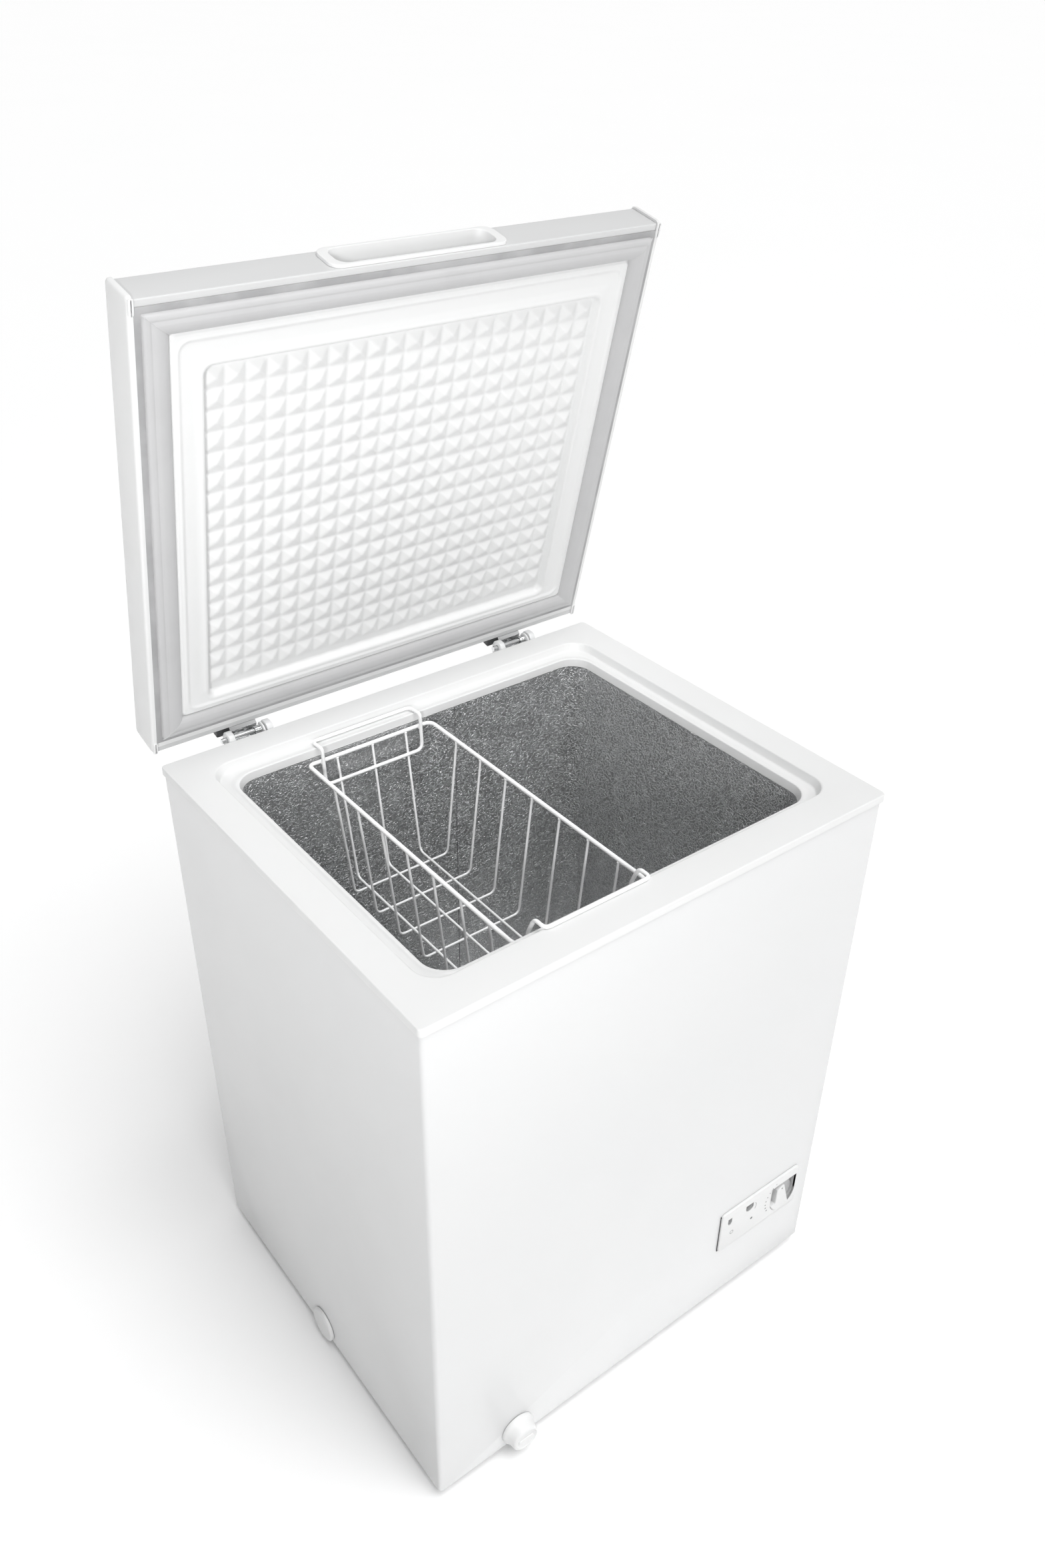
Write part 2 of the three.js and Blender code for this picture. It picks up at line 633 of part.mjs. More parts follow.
// Wires run down one side, across the floor and up the other, and are welded where they cross.
function basketCage() {
  const b = BASKET;
  const high = b.top - b.frameWire - b.wire * 0.2;
  const wires = [];
  const bend = 9;
  for (let i = 0; i < CROSS_WIRES.count; i += 1) {
    const y = CROSS_WIRES.firstY - i * CROSS_WIRES.pitch;
    wires.push(rod([
      [b.left + 0.6, y, high], [b.footLeft, y, b.foot], [b.footRight, y, b.foot], [b.right - 0.6, y, high],
    ], bend, b.wire, 6));
  }
  const upper = b.foot + b.wire * 1.5;
  for (let i = 0; i < LONG_WIRES.count; i += 1) {
    const x = LONG_WIRES.firstX + i * LONG_WIRES.pitch;
    wires.push(rod([
      [x, b.back - 0.6, high], [x, b.footBack, upper], [x, b.footFront, upper], [x, b.front + 0.6, high],
    ], bend, b.wire, 6));
  }
  return cut(join(...wires), basketFrame(GAP));
}

// A hook is a closed loop: a low bar inside the basket's end, two uprights and a bar outside the mouth.
// The back hook drops its bar into the rim's groove; the front one lays it on the flange.
function basketHook(end) {
  const h = HOOK;
  const f = FRONT_HOOK;
  const offFrame = BASKET.frameWire + h.wire + GAP;
  const inside = end > 0 ? BASKET.back - offFrame : BASKET.front + offFrame;
  const foot = [inside - end * 3, h.low];
  const backSide = [foot, [inside, h.high], [GROOVE.outBack - h.wire - 0.8, h.seat]];
  const frontSide = [foot, [inside, f.straight], [f.neckY, f.neck], [f.over, f.rest], [f.bar, f.rest]];
  const side = end > 0 ? backSide : frontSide;
  const [left, right] = end > 0 ? [h.left, h.right] : [f.left, f.right];
  const up = side.map(([y, z]) => [left, y, z]);
  const down = side.map(([y, z]) => [right, y, z]).reverse();
  const loop = wireLoop([...up, ...down], end > 0 ? 6 : 3.5, h.wire, 8);
  return cut(loop, basketCageClearance(end));
}

// Room in the hooks for the cage's long wires that pass them.
function basketCageClearance(end) {
  const b = BASKET;
  const y = end > 0 ? b.back : b.front;
  const foot = end > 0 ? b.footBack : b.footFront;
  const wires = [];
  for (let i = 0; i < LONG_WIRES.count; i += 1) {
    const x = LONG_WIRES.firstX + i * LONG_WIRES.pitch;
    wires.push(rod([[x, y, b.top], [x, foot, b.foot]], 1, b.wire + 0.4, 6));
  }
  return join(...wires);
}

// ---------------------------------------------------------------- assembly
function cabinet() {
  const group = new THREE.Group();
  place(group, 'outer_shell', outerShell(), WHITE_PAINT);
  place(group, 'back_panel', backPanel(), WHITE_PAINT);
  place(group, 'base_pan', basePan(), ZINC);
  place(group, 'machine_wall', machineWall(), ZINC);
  place(group, 'rim_frame', rimFrame(), WHITE_PLASTIC);
  place(group, 'inner_liner', innerLiner(), BRIGHT_SHEET);
  place(group, 'insulation_foam', insulationFoam(), FOAM);
  place(group, 'drain_tube', drainLine(0), WHITE_PLASTIC);
  place(group, 'side_cap', sideCap(), WHITE_PLASTIC);
  place(group, 'control_panel', controlPanel(), WHITE_PLASTIC);
  place(group, 'power_lens', lens(POWER_LENS), SMOKED_LENS);
  place(group, 'run_lens', lens(RUN_LENS), SMOKED_LENS);
  place(group, 'thermostat_body', thermostatBody(), BLACK_PLASTIC);
  place(group, 'rear_grille', rearGrille(), ZINC);
  place(group, 'cord_inlet', cordInlet(), BLACK_RUBBER);
  HINGE_X.forEach((x, i) => {
    place(group, `hinge_bracket_${i + 1}`, hingeBracket(x), WHITE_PAINT);
    place(group, `hinge_pin_${i + 1}`, hingePin(x), CHROME);
    place(group, `hinge_spring_${i + 1}`, hingeSpring(x), CHROME);
  });
  for (const [end, y] of [['front', -FOOT.y], ['rear', FOOT.y]]) {
    for (const [side, x] of [['left', -FOOT.x], ['right', FOOT.x]]) {
      place(group, `foot_${end}_${side}`, foot(), BLACK_PLASTIC).position.set(x, y, 0);
    }
  }
  return group;
}

function coolingSystem() {
  const group = new THREE.Group();
  place(group, 'evaporator_tube', evaporatorTube(), COPPER);
  place(group, 'condenser_tube', condenserTube(), COPPER);
  place(group, 'compressor_tray', compressorTray(), ZINC);
  place(group, 'compressor_shell', compressorShell(), BLACK_PAINT);
  place(group, 'compressor_base', compressorBase(), BLACK_PAINT);
  GROMMET_AT.forEach((at, i) => place(group, `grommet_${i + 1}`, grommet(at), BLACK_RUBBER));
  place(group, 'terminal_cover', terminalCover(), BLACK_PLASTIC);
  place(group, 'suction_line', suctionLine(), COPPER);
  place(group, 'discharge_line', dischargeLine(), COPPER);
  place(group, 'filter_drier', filterDrier(), COPPER);
  return group;
}

function lid() {
  const closed = new THREE.Group();
  closed.position.set(0, -AXIS.y, -AXIS.z);
  place(closed, 'lid_skin', lidSkin(), WHITE_PAINT);
  place(closed, 'lid_end_cap_left', lidEndCap(-1), WHITE_PLASTIC);
  place(closed, 'lid_end_cap_right', lidEndCap(1), WHITE_PLASTIC);
  place(closed, 'lid_foam', lidFoam(), FOAM);
  place(closed, 'lid_liner', lidLiner(), WHITE_PLASTIC);
  place(closed, 'lid_gasket', lidGasket(), GREY_RUBBER);
  place(closed, 'lid_handle', lidHandle(), WHITE_PLASTIC);
  HINGE_X.forEach((x, i) => {
    place(closed, `hinge_leaf_${i + 1}`, hingeLeaf(x), CHROME);
    place(closed, `hinge_cover_${i + 1}`, hingeCover(x), BLACK_PLASTIC);
  });
  const turnedUp = new THREE.Group();
  turnedUp.add(closed);
  turnedUp.position.set(0, AXIS.y, AXIS.z);
  turnedUp.rotation.x = -LID_OPEN;
  return turnedUp;
}

function basket() {
  const group = new THREE.Group();
  place(group, 'basket_frame', basketFrame(), WIRE_COAT);
  place(group, 'basket_cage', basketCage(), WIRE_COAT);
  place(group, 'basket_hook_back', basketHook(1), WIRE_COAT);
  place(group, 'basket_hook_front', basketHook(-1), WIRE_COAT);
  return group;
}

const chestFreezer = new THREE.Group();
chestFreezer.position.set(0, SET_BACK, 0);
chestFreezer.add(cabinet(), coolingSystem(), lid(), basket());
place(chestFreezer, 'thermostat_knob', thermostatKnob(), WHITE_PLASTIC);
place(chestFreezer, 'drain_cap', drainCap(), WHITE_PLASTIC);
place(chestFreezer, 'drain_plug', drainPlug(), WHITE_PLASTIC);

export default chestFreezer;
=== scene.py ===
# The looks of a small chest freezer with an open lid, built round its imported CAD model.
# Pieces are drawn in millimetres, from the middle of the cabinet and with the lid closed, and are then
# settled into the frame: metres, +Z up, front at -Y.
import json
import math

import bmesh
import bpy
import numpy as np
from mathutils import Matrix, Vector, noise


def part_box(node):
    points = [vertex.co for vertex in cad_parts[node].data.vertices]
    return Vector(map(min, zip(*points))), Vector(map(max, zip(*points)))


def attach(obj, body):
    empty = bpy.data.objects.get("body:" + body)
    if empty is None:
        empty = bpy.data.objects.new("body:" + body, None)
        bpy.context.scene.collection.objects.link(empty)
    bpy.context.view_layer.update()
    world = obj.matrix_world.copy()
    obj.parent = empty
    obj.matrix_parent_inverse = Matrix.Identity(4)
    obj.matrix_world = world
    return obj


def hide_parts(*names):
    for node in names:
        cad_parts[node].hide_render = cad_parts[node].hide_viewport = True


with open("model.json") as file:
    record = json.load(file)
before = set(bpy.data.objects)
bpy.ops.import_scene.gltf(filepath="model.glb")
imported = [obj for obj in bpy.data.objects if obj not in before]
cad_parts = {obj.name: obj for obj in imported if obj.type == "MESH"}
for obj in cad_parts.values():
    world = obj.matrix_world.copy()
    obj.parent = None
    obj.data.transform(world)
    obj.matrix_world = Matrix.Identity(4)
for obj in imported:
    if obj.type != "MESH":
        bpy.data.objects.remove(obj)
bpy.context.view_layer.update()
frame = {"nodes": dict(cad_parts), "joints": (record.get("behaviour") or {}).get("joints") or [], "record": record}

# ---------------------------------------------------------------- the frame's own places
MM = 0.001
SCENE = bpy.context.scene
JOINTS = {joint["name"]: joint for joint in frame["joints"]}
RIM_LOW, RIM_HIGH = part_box("rim_frame")
MIDDLE_Y = (RIM_LOW.y + RIM_HIGH.y) / 2
HINGE = Vector(JOINTS["lid_hinge"]["pos_m"])
OPEN = math.radians(JOINTS["lid_hinge"]["range_deg"][1])
IN_CABINET = Matrix.Translation((0, MIDDLE_Y, 0)) @ Matrix.Scale(MM, 4)
IN_LID = Matrix.Translation(HINGE) @ Matrix.Rotation(-OPEN, 4, "X") @ Matrix.Translation(-HINGE) @ IN_CABINET
AXIS_Y = (HINGE.y - MIDDLE_Y) / MM
AXIS_Z = HINGE.z / MM


def drawn_box(node):
    """A cabinet node's lowest and highest corners, in the drawing's millimetres."""
    back = IN_CABINET.inverted()
    return [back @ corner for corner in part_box(node)]


# ---------------------------------------------------------------- driving sizes, in millimetres
RIM_TOP = RIM_HIGH.z / MM
RIM_X = RIM_HIGH.x / MM
RIM_Y = (RIM_HIGH.y - MIDDLE_Y) / MM
SHELL_LOW, SHELL_HIGH = drawn_box("outer_shell")
FACE_Y = SHELL_LOW.y - 0.3      # what stands on the cabinet's front starts here
MOUTH = {"x": 254, "front": -208, "back": 208, "corner": 28, "edge": 762}
TUB = {"floor": 75, "step_x": 50, "step_top": 290, "sheet": 1.2}
LID = {"x": 313.5, "front": -271, "back": 272.5, "under": 790.4, "top": 834.4, "sheet": 1, "cap": 5,
       "lip": 7.2}
GASKET = {"x": 306.5, "front": -261.4, "back": 256, "width": 27, "side_width": 30.5}
FIELD = {"x": 243, "front": -198, "back": 213, "roof": 797, "frame": 787.6, "corner": 10}
PADS = {"left": -240.3, "right": 240.6, "front": -192.4, "back": 200.3, "columns": 21, "rows": 17, "rise": 5}
HANDLE = {"x": 106, "pocket_x": 94, "low": 797, "high": 828, "depth": 22, "proud": 3}
HINGE_X = (-200, 200)
DRAIN = {"x": -197, "y": -150, "z": 39}
SIDE_CAP = {"y": 5, "z": 35}
PANEL = {"left": 138, "right": 284, "low": 111, "high": 184, "proud": 3.2}
DIAL = {"x": 257, "z": 140, "r": 24, "depth": 10}
MACHINE = {"x": 95, "top": 250}


# ---------------------------------------------------------------- materials
MAP_SOCKETS = ("From Min", "From Max", "To Min", "To Max")


class Finish:
    """A node material: object coordinates feed its noises, and every chain ends in one Principled shader."""

    def __init__(self, name, color, roughness, metallic=0.0, **sockets):
        self.material = bpy.data.materials.new(name)
        self.material.use_nodes = True
        self.tree = self.material.node_tree
        self.shader = self.tree.nodes["Principled BSDF"]
        self.coordinates = self.tree.nodes.new("ShaderNodeTexCoord").outputs["Object"]
        self.color = (*color, 1)
        self.shader.inputs["Base Color"].default_value = self.color
        self.shader.inputs["Roughness"].default_value = roughness
        self.shader.inputs["Metallic"].default_value = metallic
        for socket, value in sockets.items():
            self.shader.inputs[socket.replace("_", " ")].default_value = value
        self.normal = None

    def link(self, output, target):
        self.tree.links.new(output, target)

    def stretched(self, x, y, z):
        """The object's coordinates, stretched by these factors."""
        mapping = self.tree.nodes.new("ShaderNodeMapping")
        mapping.inputs["Scale"].default_value = (x, y, z)
        self.link(self.coordinates, mapping.inputs["Vector"])
        return mapping.outputs["Vector"]

    def noise(self, size_mm, detail=2.0, distortion=0.0, along=None):
        """Cloudy noise with features about size_mm across."""
        node = self.tree.nodes.new("ShaderNodeTexNoise")
        node.inputs["Scale"].default_value = 1000 / size_mm
        node.inputs["Detail"].default_value = detail
        node.inputs["Distortion"].default_value = distortion
        self.link(along or self.coordinates, node.inputs["Vector"])
        return node.outputs["Fac"]

    def cells(self, size_mm, output="Distance"):
        """Round cells about size_mm across."""
        node = self.tree.nodes.new("ShaderNodeTexVoronoi")
        node.inputs["Scale"].default_value = 1000 / size_mm
        self.link(self.coordinates, node.inputs["Vector"])
        return node.outputs[output]

    def maths(self, operation, first, second=0.0):
        node = self.tree.nodes.new("ShaderNodeMath")
        node.operation = operation
        for slot, value in enumerate((first, second)):
            if isinstance(value, (int, float)):
                node.inputs[slot].default_value = value
            else:
                self.link(value, node.inputs[slot])
        return node.outputs[0]

    def spread(self, value, low, high, out_low=0.0, out_high=1.0):
        """value, stretched from low..high to out_low..out_high and held inside it."""
        node = self.tree.nodes.new("ShaderNodeMapRange")
        node.interpolation_type = "SMOOTHSTEP"
        for socket, number in zip(MAP_SOCKETS, (low, high, out_low, out_high)):
            node.inputs[socket].default_value = number
        self.link(value, node.inputs["Value"])
        return node.outputs["Result"]

    def tint(self, amount, color):
        """Mixes color over the base colour by amount."""
        node = self.tree.nodes.new("ShaderNodeMix")
        node.data_type = "RGBA"
        node.inputs[6].default_value = self.color
        node.inputs[7].default_value = (*color, 1)
        if self.shader.inputs["Base Color"].is_linked:
            self.link(self.shader.inputs["Base Color"].links[0].from_socket, node.inputs[6])
        self.link(amount, node.inputs[0])
        self.link(node.outputs[2], self.shader.inputs["Base Color"])
        return self

    def dull(self, amount):
        """amount drives the roughness."""
        self.link(amount, self.shader.inputs["Roughness"])
        return self

    def bump(self, height, depth_mm):
        """A relief depth_mm deep, laid over any relief that is there already."""
        node = self.tree.nodes.new("ShaderNodeBump")
        node.inputs["Distance"].default_value = depth_mm * MM
        self.link(height, node.inputs["Height"])
        if self.normal is not None:
            self.link(self.normal, node.inputs["Normal"])
        self.normal = node.outputs["Normal"]
        self.link(self.normal, self.shader.inputs["Normal"])
        return self


def clouded(name, color, roughness, dull=None, tint=None, reliefs=(), metallic=0.0, **sockets):
    """A finish made of cloudy noises, with sizes and depths in millimetres. dull is a noise's size and
    detail, the stretch of it that counts, and the roughness at its two ends. tint is the same with how much
    of a second colour comes in, and that colour. Each relief is a noise's size and detail, and its depth."""
    f = Finish(name, color, roughness, metallic, **sockets)
    if dull:
        size, detail, low, high, smooth, rough = dull
        f.dull(f.spread(f.noise(size, detail), low, high, smooth, rough))
    if tint:
        size, detail, low, high, amount, second = tint
        f.tint(f.spread(f.noise(size, detail), low, high, 0, amount), second)
    for size, detail, depth in reliefs:
        f.bump(f.noise(size, detail), depth)
    return f.material


def sprayed_enamel(name, value):
    """White paint of this brightness: a faint orange peel under a clear gloss."""
    first = (value, value * 1.005, value * 1.007)
    second = (value * 0.98, value * 0.988, value * 0.993)
    return clouded(name, first, 0.3, (90, 3, 0.3, 0.7, 0.29, 0.36), (240, 2, 0.35, 0.75, 0.5, second),
                   [(3.5, 1, 0.005)], Coat_Weight=0.35, Coat_Roughness=0.08)


def embossed_sheet():
    """Bare aluminium rolled with a stucco pattern: short worm-like ridges whose tops carry a painted highlight,
    clouded by handling.
    """
    f = Finish("embossed_sheet", (0.56, 0.565, 0.57), 0.42, metallic=0.85)
    worms = f.maths("ABSOLUTE", f.maths("SUBTRACT", f.noise(3.6, 1, 0.6), 0.5))
    ridges = f.spread(worms, 0.0, 0.09, 1, 0)
    fine = f.noise(2.2, 2)
    smear = f.noise(70, 4, 0.8)
    f.dull(f.spread(smear, 0.35, 0.7, 0.29, 0.42))
    f.tint(f.spread(f.noise(26, 5, 0.4), 0.5, 0.75, 0, 0.6), (0.8, 0.805, 0.81))
    # the ridges' tops are painted paler: a painted highlight for the glints the stucco catches
    f.tint(f.spread(ridges, 0.2, 0.9, 0, 0.75), (0.86, 0.865, 0.87))
    f.bump(fine, 0.1)
    return f.bump(ridges, 1.1).material


def zinc_sheet():
    """Galvanised steel with its spangle."""
    f = Finish("zinc_sheet", (0.55, 0.57, 0.58), 0.45, metallic=0.9)
    spangle = f.cells(9, output="Color")
    f.dull(f.spread(spangle, 0.1, 0.9, 0.34, 0.56))
    f.tint(f.spread(spangle, 0.2, 0.9, 0, 0.6), (0.68, 0.69, 0.7))
    return f.bump(f.noise(3, 3), 0.02).material


def plated_steel():
    """Bright plating with scratches along X."""
    f = Finish("plated_steel", (0.78, 0.785, 0.79), 0.12, metallic=1.0)
    scratches = f.noise(1.5, 3, along=f.stretched(0.06, 1, 1))
    f.dull(f.spread(scratches, 0.35, 0.75, 0.07, 0.26))
    return f.bump(scratches, 0.008).material


def rigid_foam():
    """Yellow blown foam with open cells."""
    f = Finish("rigid_foam", (0.78, 0.68, 0.42), 0.9)
    f.tint(f.spread(f.noise(30, 4), 0.4, 0.75), (0.66, 0.53, 0.28))
    return f.bump(f.cells(2.5), 0.6).material


FINISH = {
    "white_paint": sprayed_enamel("white_enamel", 0.72),
    # the lid's enamel is the same white paint, painted darker as painted shade of the lid's upturned face
    "lid_shaded_paint": sprayed_enamel("lid_enamel_painted_shade", 0.6),
    # moulded, with a fine spark-eroded grain
    "white_plastic": clouded(
        "white_plastic", (0.745, 0.748, 0.747), 0.38, (35, 3, 0.3, 0.7, 0.33, 0.46),
        (120, 2, 0.4, 0.8, 0.4, (0.73, 0.732, 0.727)), [(0.9, 3, 0.006)]),
    # vacuum-formed: softer, glossier and slightly uneven
    "lid_sheet": clouded(
        "liner_plastic", (0.76, 0.763, 0.762), 0.33, (25, 2, 0.3, 0.7, 0.3, 0.42), None,
        [(18, 2, 0.05), (1.2, 2, 0.01)], Subsurface_Weight=0.08, Subsurface_Radius=(0.004, 0.004, 0.004)),
    "liner_sheet": embossed_sheet(),
    "zinc_sheet": zinc_sheet(),
    "hinge_chrome": plated_steel(),
    # a soft grey extrusion, greyer where dirt has settled
    "gasket_rubber": clouded(
        "gasket_vinyl", (0.5, 0.5, 0.505), 0.55, (22, 3, 0.3, 0.7, 0.46, 0.66),
        (60, 4, 0.45, 0.75, 0.35, (0.44, 0.44, 0.445)), [(0.9, 2, 0.02)], Sheen_Weight=0.15),
    # the gasket's foot, painted darker: painted shade of the narrow gap beside the lip, clouded at random
    "gasket_root_painted_shade": clouded(
        "gasket_root_painted_shade", (0.34, 0.34, 0.345), 0.7, None, (40, 3, 0.35, 0.7, 1, (0.42, 0.42, 0.425)),
        [(1.2, 2, 0.03)]),
    "grey_plastic": clouded(
        "grey_plastic", (0.46, 0.462, 0.464), 0.45, (15, 3, 0.3, 0.7, 0.4, 0.52),
        (20, 2, 0.4, 0.8, 0.5, (0.52, 0.52, 0.522)), [(0.8, 3, 0.008)]),
    "black_rubber": clouded(
        "black_rubber", (0.035, 0.035, 0.036), 0.72, None, (18, 4, 0.5, 0.8, 1, (0.09, 0.088, 0.085)),
        [(1.4, 3, 0.05)]),
    "black_plastic": clouded(
        "black_plastic", (0.045, 0.046, 0.048), 0.5, (20, 3, 0.3, 0.7, 0.42, 0.6),
        (40, 3, 0.5, 0.85, 0.6, (0.08, 0.08, 0.082)), [(0.8, 3, 0.03)]),
    "black_paint": clouded(
        "black_enamel", (0.02, 0.02, 0.022), 0.32, (30, 3, 0.3, 0.7, 0.29, 0.42),
        (50, 5, 0.55, 0.8, 1, (0.06, 0.056, 0.05)), [(2.4, 2, 0.04)], Coat_Weight=0.3),
    "foam": rigid_foam(),
    "copper": clouded(
        "copper_tube", (0.72, 0.36, 0.22), 0.3, (14, 4, 0.3, 0.75, 0.29, 0.5),
        (22, 5, 0.5, 0.8, 1, (0.34, 0.17, 0.11)), [(2, 3, 0.02)], metallic=1.0),
    # a thick white dip over the basket's wire, a little lumpy
    "basket_coating": clouded(
        "dipped_coating", (0.94, 0.942, 0.942), 0.24, (12, 3, 0.3, 0.7, 0.29, 0.38),
        (50, 3, 0.5, 0.8, 0.4, (0.88, 0.88, 0.875)), [(5, 2, 0.08)], Coat_Weight=0.4, Coat_Roughness=0.1),
    "smoked_lens": clouded(
        "dark_lens", (0.035, 0.036, 0.038), 0.12, (3, 2, 0.3, 0.7, 0.08, 0.2),
        (4, 2, 0.4, 0.7, 0.5, (0.1, 0.1, 0.105)), [(1.5, 2, 0.02)], Coat_Weight=0.6),
    "ink": clouded(
        "printed_ink", (0.12, 0.12, 0.125), 0.5, None, (0.8, 2, 0.4, 0.7, 0.5, (0.25, 0.25, 0.25)),
        [(0.5, 2, 0.01)]),
}
SLOT_OF = {part["node"]: part["material_slot"] for part in frame["record"]["subparts"]}


# ---------------------------------------------------------------- shape helpers
def soften(points, radii, steps=4, closed=False):
    """A line of points with its corners rounded. A point is any row of numbers, and its first and last
    ones are what the radius is measured in. radii is one number, or one for each point."""
    points = [np.array(p, float) for p in points]
    if isinstance(radii, (int, float)):
        radii = [radii] * len(points)

    def reach(a, b):
        return max(float(np.linalg.norm((b - a)[[0, -1]])), float(np.linalg.norm((b - a)[:3])) * 1e-6)

    line = []
    count = len(points)
    for i, (here, radius) in enumerate(zip(points, radii)):
        if radius == 0 or (not closed and i in (0, count - 1)):
            line.append(here)
            continue
        before, after = points[i - 1], points[(i + 1) % count]
        start = here + (before - here) * min(radius / reach(here, before), 0.48)
        end = here + (after - here) * min(radius / reach(here, after), 0.48)
        for k in range(steps + 1):
            t = k / steps
            line.append((1 - t) ** 2 * start + 2 * t * (1 - t) * here + t ** 2 * end)
    return line


def arc(u, v, r, start, end, n):
    """n points round (u, v) at radius r, from one angle to another in degrees."""
    return [(u + r * math.cos(math.radians(a)), v + r * math.sin(math.radians(a)))
            for a in np.linspace(start, end, n)]


def ring(x0, x1, y0, y1, r, z, n=6):
    """A rounded rectangle at height z, anticlockwise from its front right corner."""
    r = max(r, 0.02)
    corners = [(x1 - r, y0 + r, -90), (x1 - r, y1 - r, 0), (x0 + r, y1 - r, 90), (x0 + r, y0 + r, 180)]
    return [(x, y, z) for cx, cy, start in corners for x, y in arc(cx, cy, r, start, start + 90, n + 1)]


def loft(rings, closed=False, first=False, last=False):
    """Faces between each ring and the next. closed joins the last to the first. first and last close an
    end."""
    n = len(rings[0])
    verts = [p for one in rings for p in one]
    faces = []
    for j in range(len(rings) if closed else len(rings) - 1):
        a, b = j * n, (j + 1) % len(rings) * n
        faces += [(a + i, a + (i + 1) % n, b + (i + 1) % n, b + i) for i in range(n)]
    if first:
        faces.append(tuple(reversed(range(n))))
    if last:
        faces.append(tuple(range(len(verts) - n, len(verts))))
    return verts, faces


def lathe(profile, sides=48):
    """A turned piece from radii and heights, its axis along +Z."""
    rings = [[(u, v, h) for u, v in arc(0, 0, max(r, 0.01), 0, 360, sides + 1)[:-1]] for r, h in profile]
    return loft(rings, first=True, last=True)


def grid_faces(rows, columns):
    """Faces of a sheet whose points run row by row."""
    return [(j * columns + i, j * columns + i + 1, (j + 1) * columns + i + 1, (j + 1) * columns + i)
            for j in range(rows - 1) for i in range(columns - 1)]


def extrude(outline, low, high):
    """A flat outline (u, v), carried along w from low to high: a list of vertices (u, v, w) and faces."""
    n = len(outline)
    verts = [(u, v, w) for w in (low, high) for u, v in outline]
    faces = [(i, (i + 1) % n, n + (i + 1) % n, n + i) for i in range(n)]
    return verts, faces + [tuple(reversed(range(n))), tuple(range(n, 2 * n))]


def block(x0, x1, y0, y1, z0, z1):
    return extrude([(x0, y0), (x1, y0), (x1, y1), (x0, y1)], z0, z1)


def along_x(shape):
    """(u, v, w) becomes (w, u, v): an outline drawn from the side."""
    return [(w, u, v) for u, v, w in shape[0]], shape[1]


def along_y(shape):
    """(u, v, w) becomes (u, -w, v): an outline drawn from the front, carried forward."""
    return [(u, -w, v) for u, v, w in shape[0]], shape[1]


def moved(shape, x=0.0, y=0.0, z=0.0):
    return [(a + x, b + y, c + z) for a, b, c in shape[0]], shape[1]


def together(*shapes):
    verts, faces = [], []
    for shape_verts, shape_faces in shapes:
        shift = len(verts)
        verts += shape_verts
        faces += [tuple(i + shift for i in face) for face in shape_faces]
    return verts, faces


def raw_object(name, shape):
    """A shape as an object whose closed bodies face outwards, still in the drawing's millimetres."""
    mesh = bpy.data.meshes.new(name)
    mesh.from_pydata([tuple(map(float, v)) for v in shape[0]], [], shape[1])
    work = bmesh.new()
    work.from_mesh(mesh)
    bmesh.ops.remove_doubles(work, verts=work.verts, dist=0.005)
    bmesh.ops.recalc_face_normals(work, faces=work.faces)
    work.to_mesh(mesh)
    work.free()
    piece = bpy.data.objects.new(name, mesh)
    SCENE.collection.objects.link(piece)
    return piece


def baked(piece):
    """Applies the piece's modifiers to its mesh."""
    bpy.context.view_layer.update()
    mesh = bpy.data.meshes.new_from_object(piece.evaluated_get(bpy.context.evaluated_depsgraph_get()))
    piece.modifiers.clear()
    old, piece.data = piece.data, mesh
    mesh.name = piece.name
    if old.users == 0:
        bpy.data.meshes.remove(old)
    return piece


def bevelled(piece, width, segments=3):
    """Rounds every edge that turns by more than 35 degrees."""
    modifier = piece.modifiers.new("bevel", "BEVEL")
    modifier.width = width
    modifier.segments = segments
    modifier.limit_method = "ANGLE"
    modifier.angle_limit = math.radians(35)
    return baked(piece)


def carved(piece, *cutters):
    """Cuts each of the shapes out of the piece."""
    for shape in cutters:
        tool = raw_object("cutter", shape)
        modifier = piece.modifiers.new("cut", "BOOLEAN")
        modifier.operation = "DIFFERENCE"
        modifier.solver = "EXACT"
        modifier.object = tool
        baked(piece)
        bpy.data.objects.remove(tool)
    return piece


def thickened(piece, thickness):
    """Gives a sheet its thickness, behind the face it was drawn as."""
    modifier = piece.modifiers.new("sheet", "SOLIDIFY")
    modifier.thickness = thickness
    modifier.offset = -1
    return baked(piece)


def settle(piece, body, slot, *stands_for, finish=None, sharp=38):
    """Puts a drawn piece in its place, gives it its finish and lets it ride on its body."""
    piece.data.transform(IN_LID if body == "lid" else IN_CABINET)
    piece.data.materials.clear()
    piece.data.materials.append(FINISH[finish or slot])
    piece.data.shade_smooth()
    piece.data.set_sharp_from_angle(angle=math.radians(sharp))
    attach(piece, body)
    if stands_for:
        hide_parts(*stands_for)
    return piece


def wires(name, lines, radius, sides=12, blobs=()):
    """Round wire along each line, given as (points, closed), with a lump of coating at each of the blobs."""
    curve = bpy.data.curves.new(name, "CURVE")
    curve.dimensions = "3D"
    curve.bevel_depth = radius
    curve.bevel_resolution = (sides - 4) // 2
    curve.use_fill_caps = True
    for points, closed in lines:
        spline = curve.splines.new("POLY")
        spline.points.add(len(points) - 1)
        for target, point in zip(spline.points, points):
            target.co = (*point, 1)
        spline.use_cyclic_u = closed
    source = bpy.data.objects.new(name, curve)
    SCENE.collection.objects.link(source)
    bpy.context.view_layer.update()
    mesh = bpy.data.meshes.new_from_object(source.evaluated_get(bpy.context.evaluated_depsgraph_get()))
    bpy.data.objects.remove(source)
    work = bmesh.new()
    work.from_mesh(mesh)
    for place, size in blobs:
        where = Matrix.Translation(place) @ Matrix.Diagonal((*size, 1))
        bmesh.ops.create_icosphere(work, subdivisions=2, radius=1, matrix=where)
    work.to_mesh(mesh)
    work.free()
    piece = bpy.data.objects.new(name, mesh)
    SCENE.collection.objects.link(piece)
    return piece


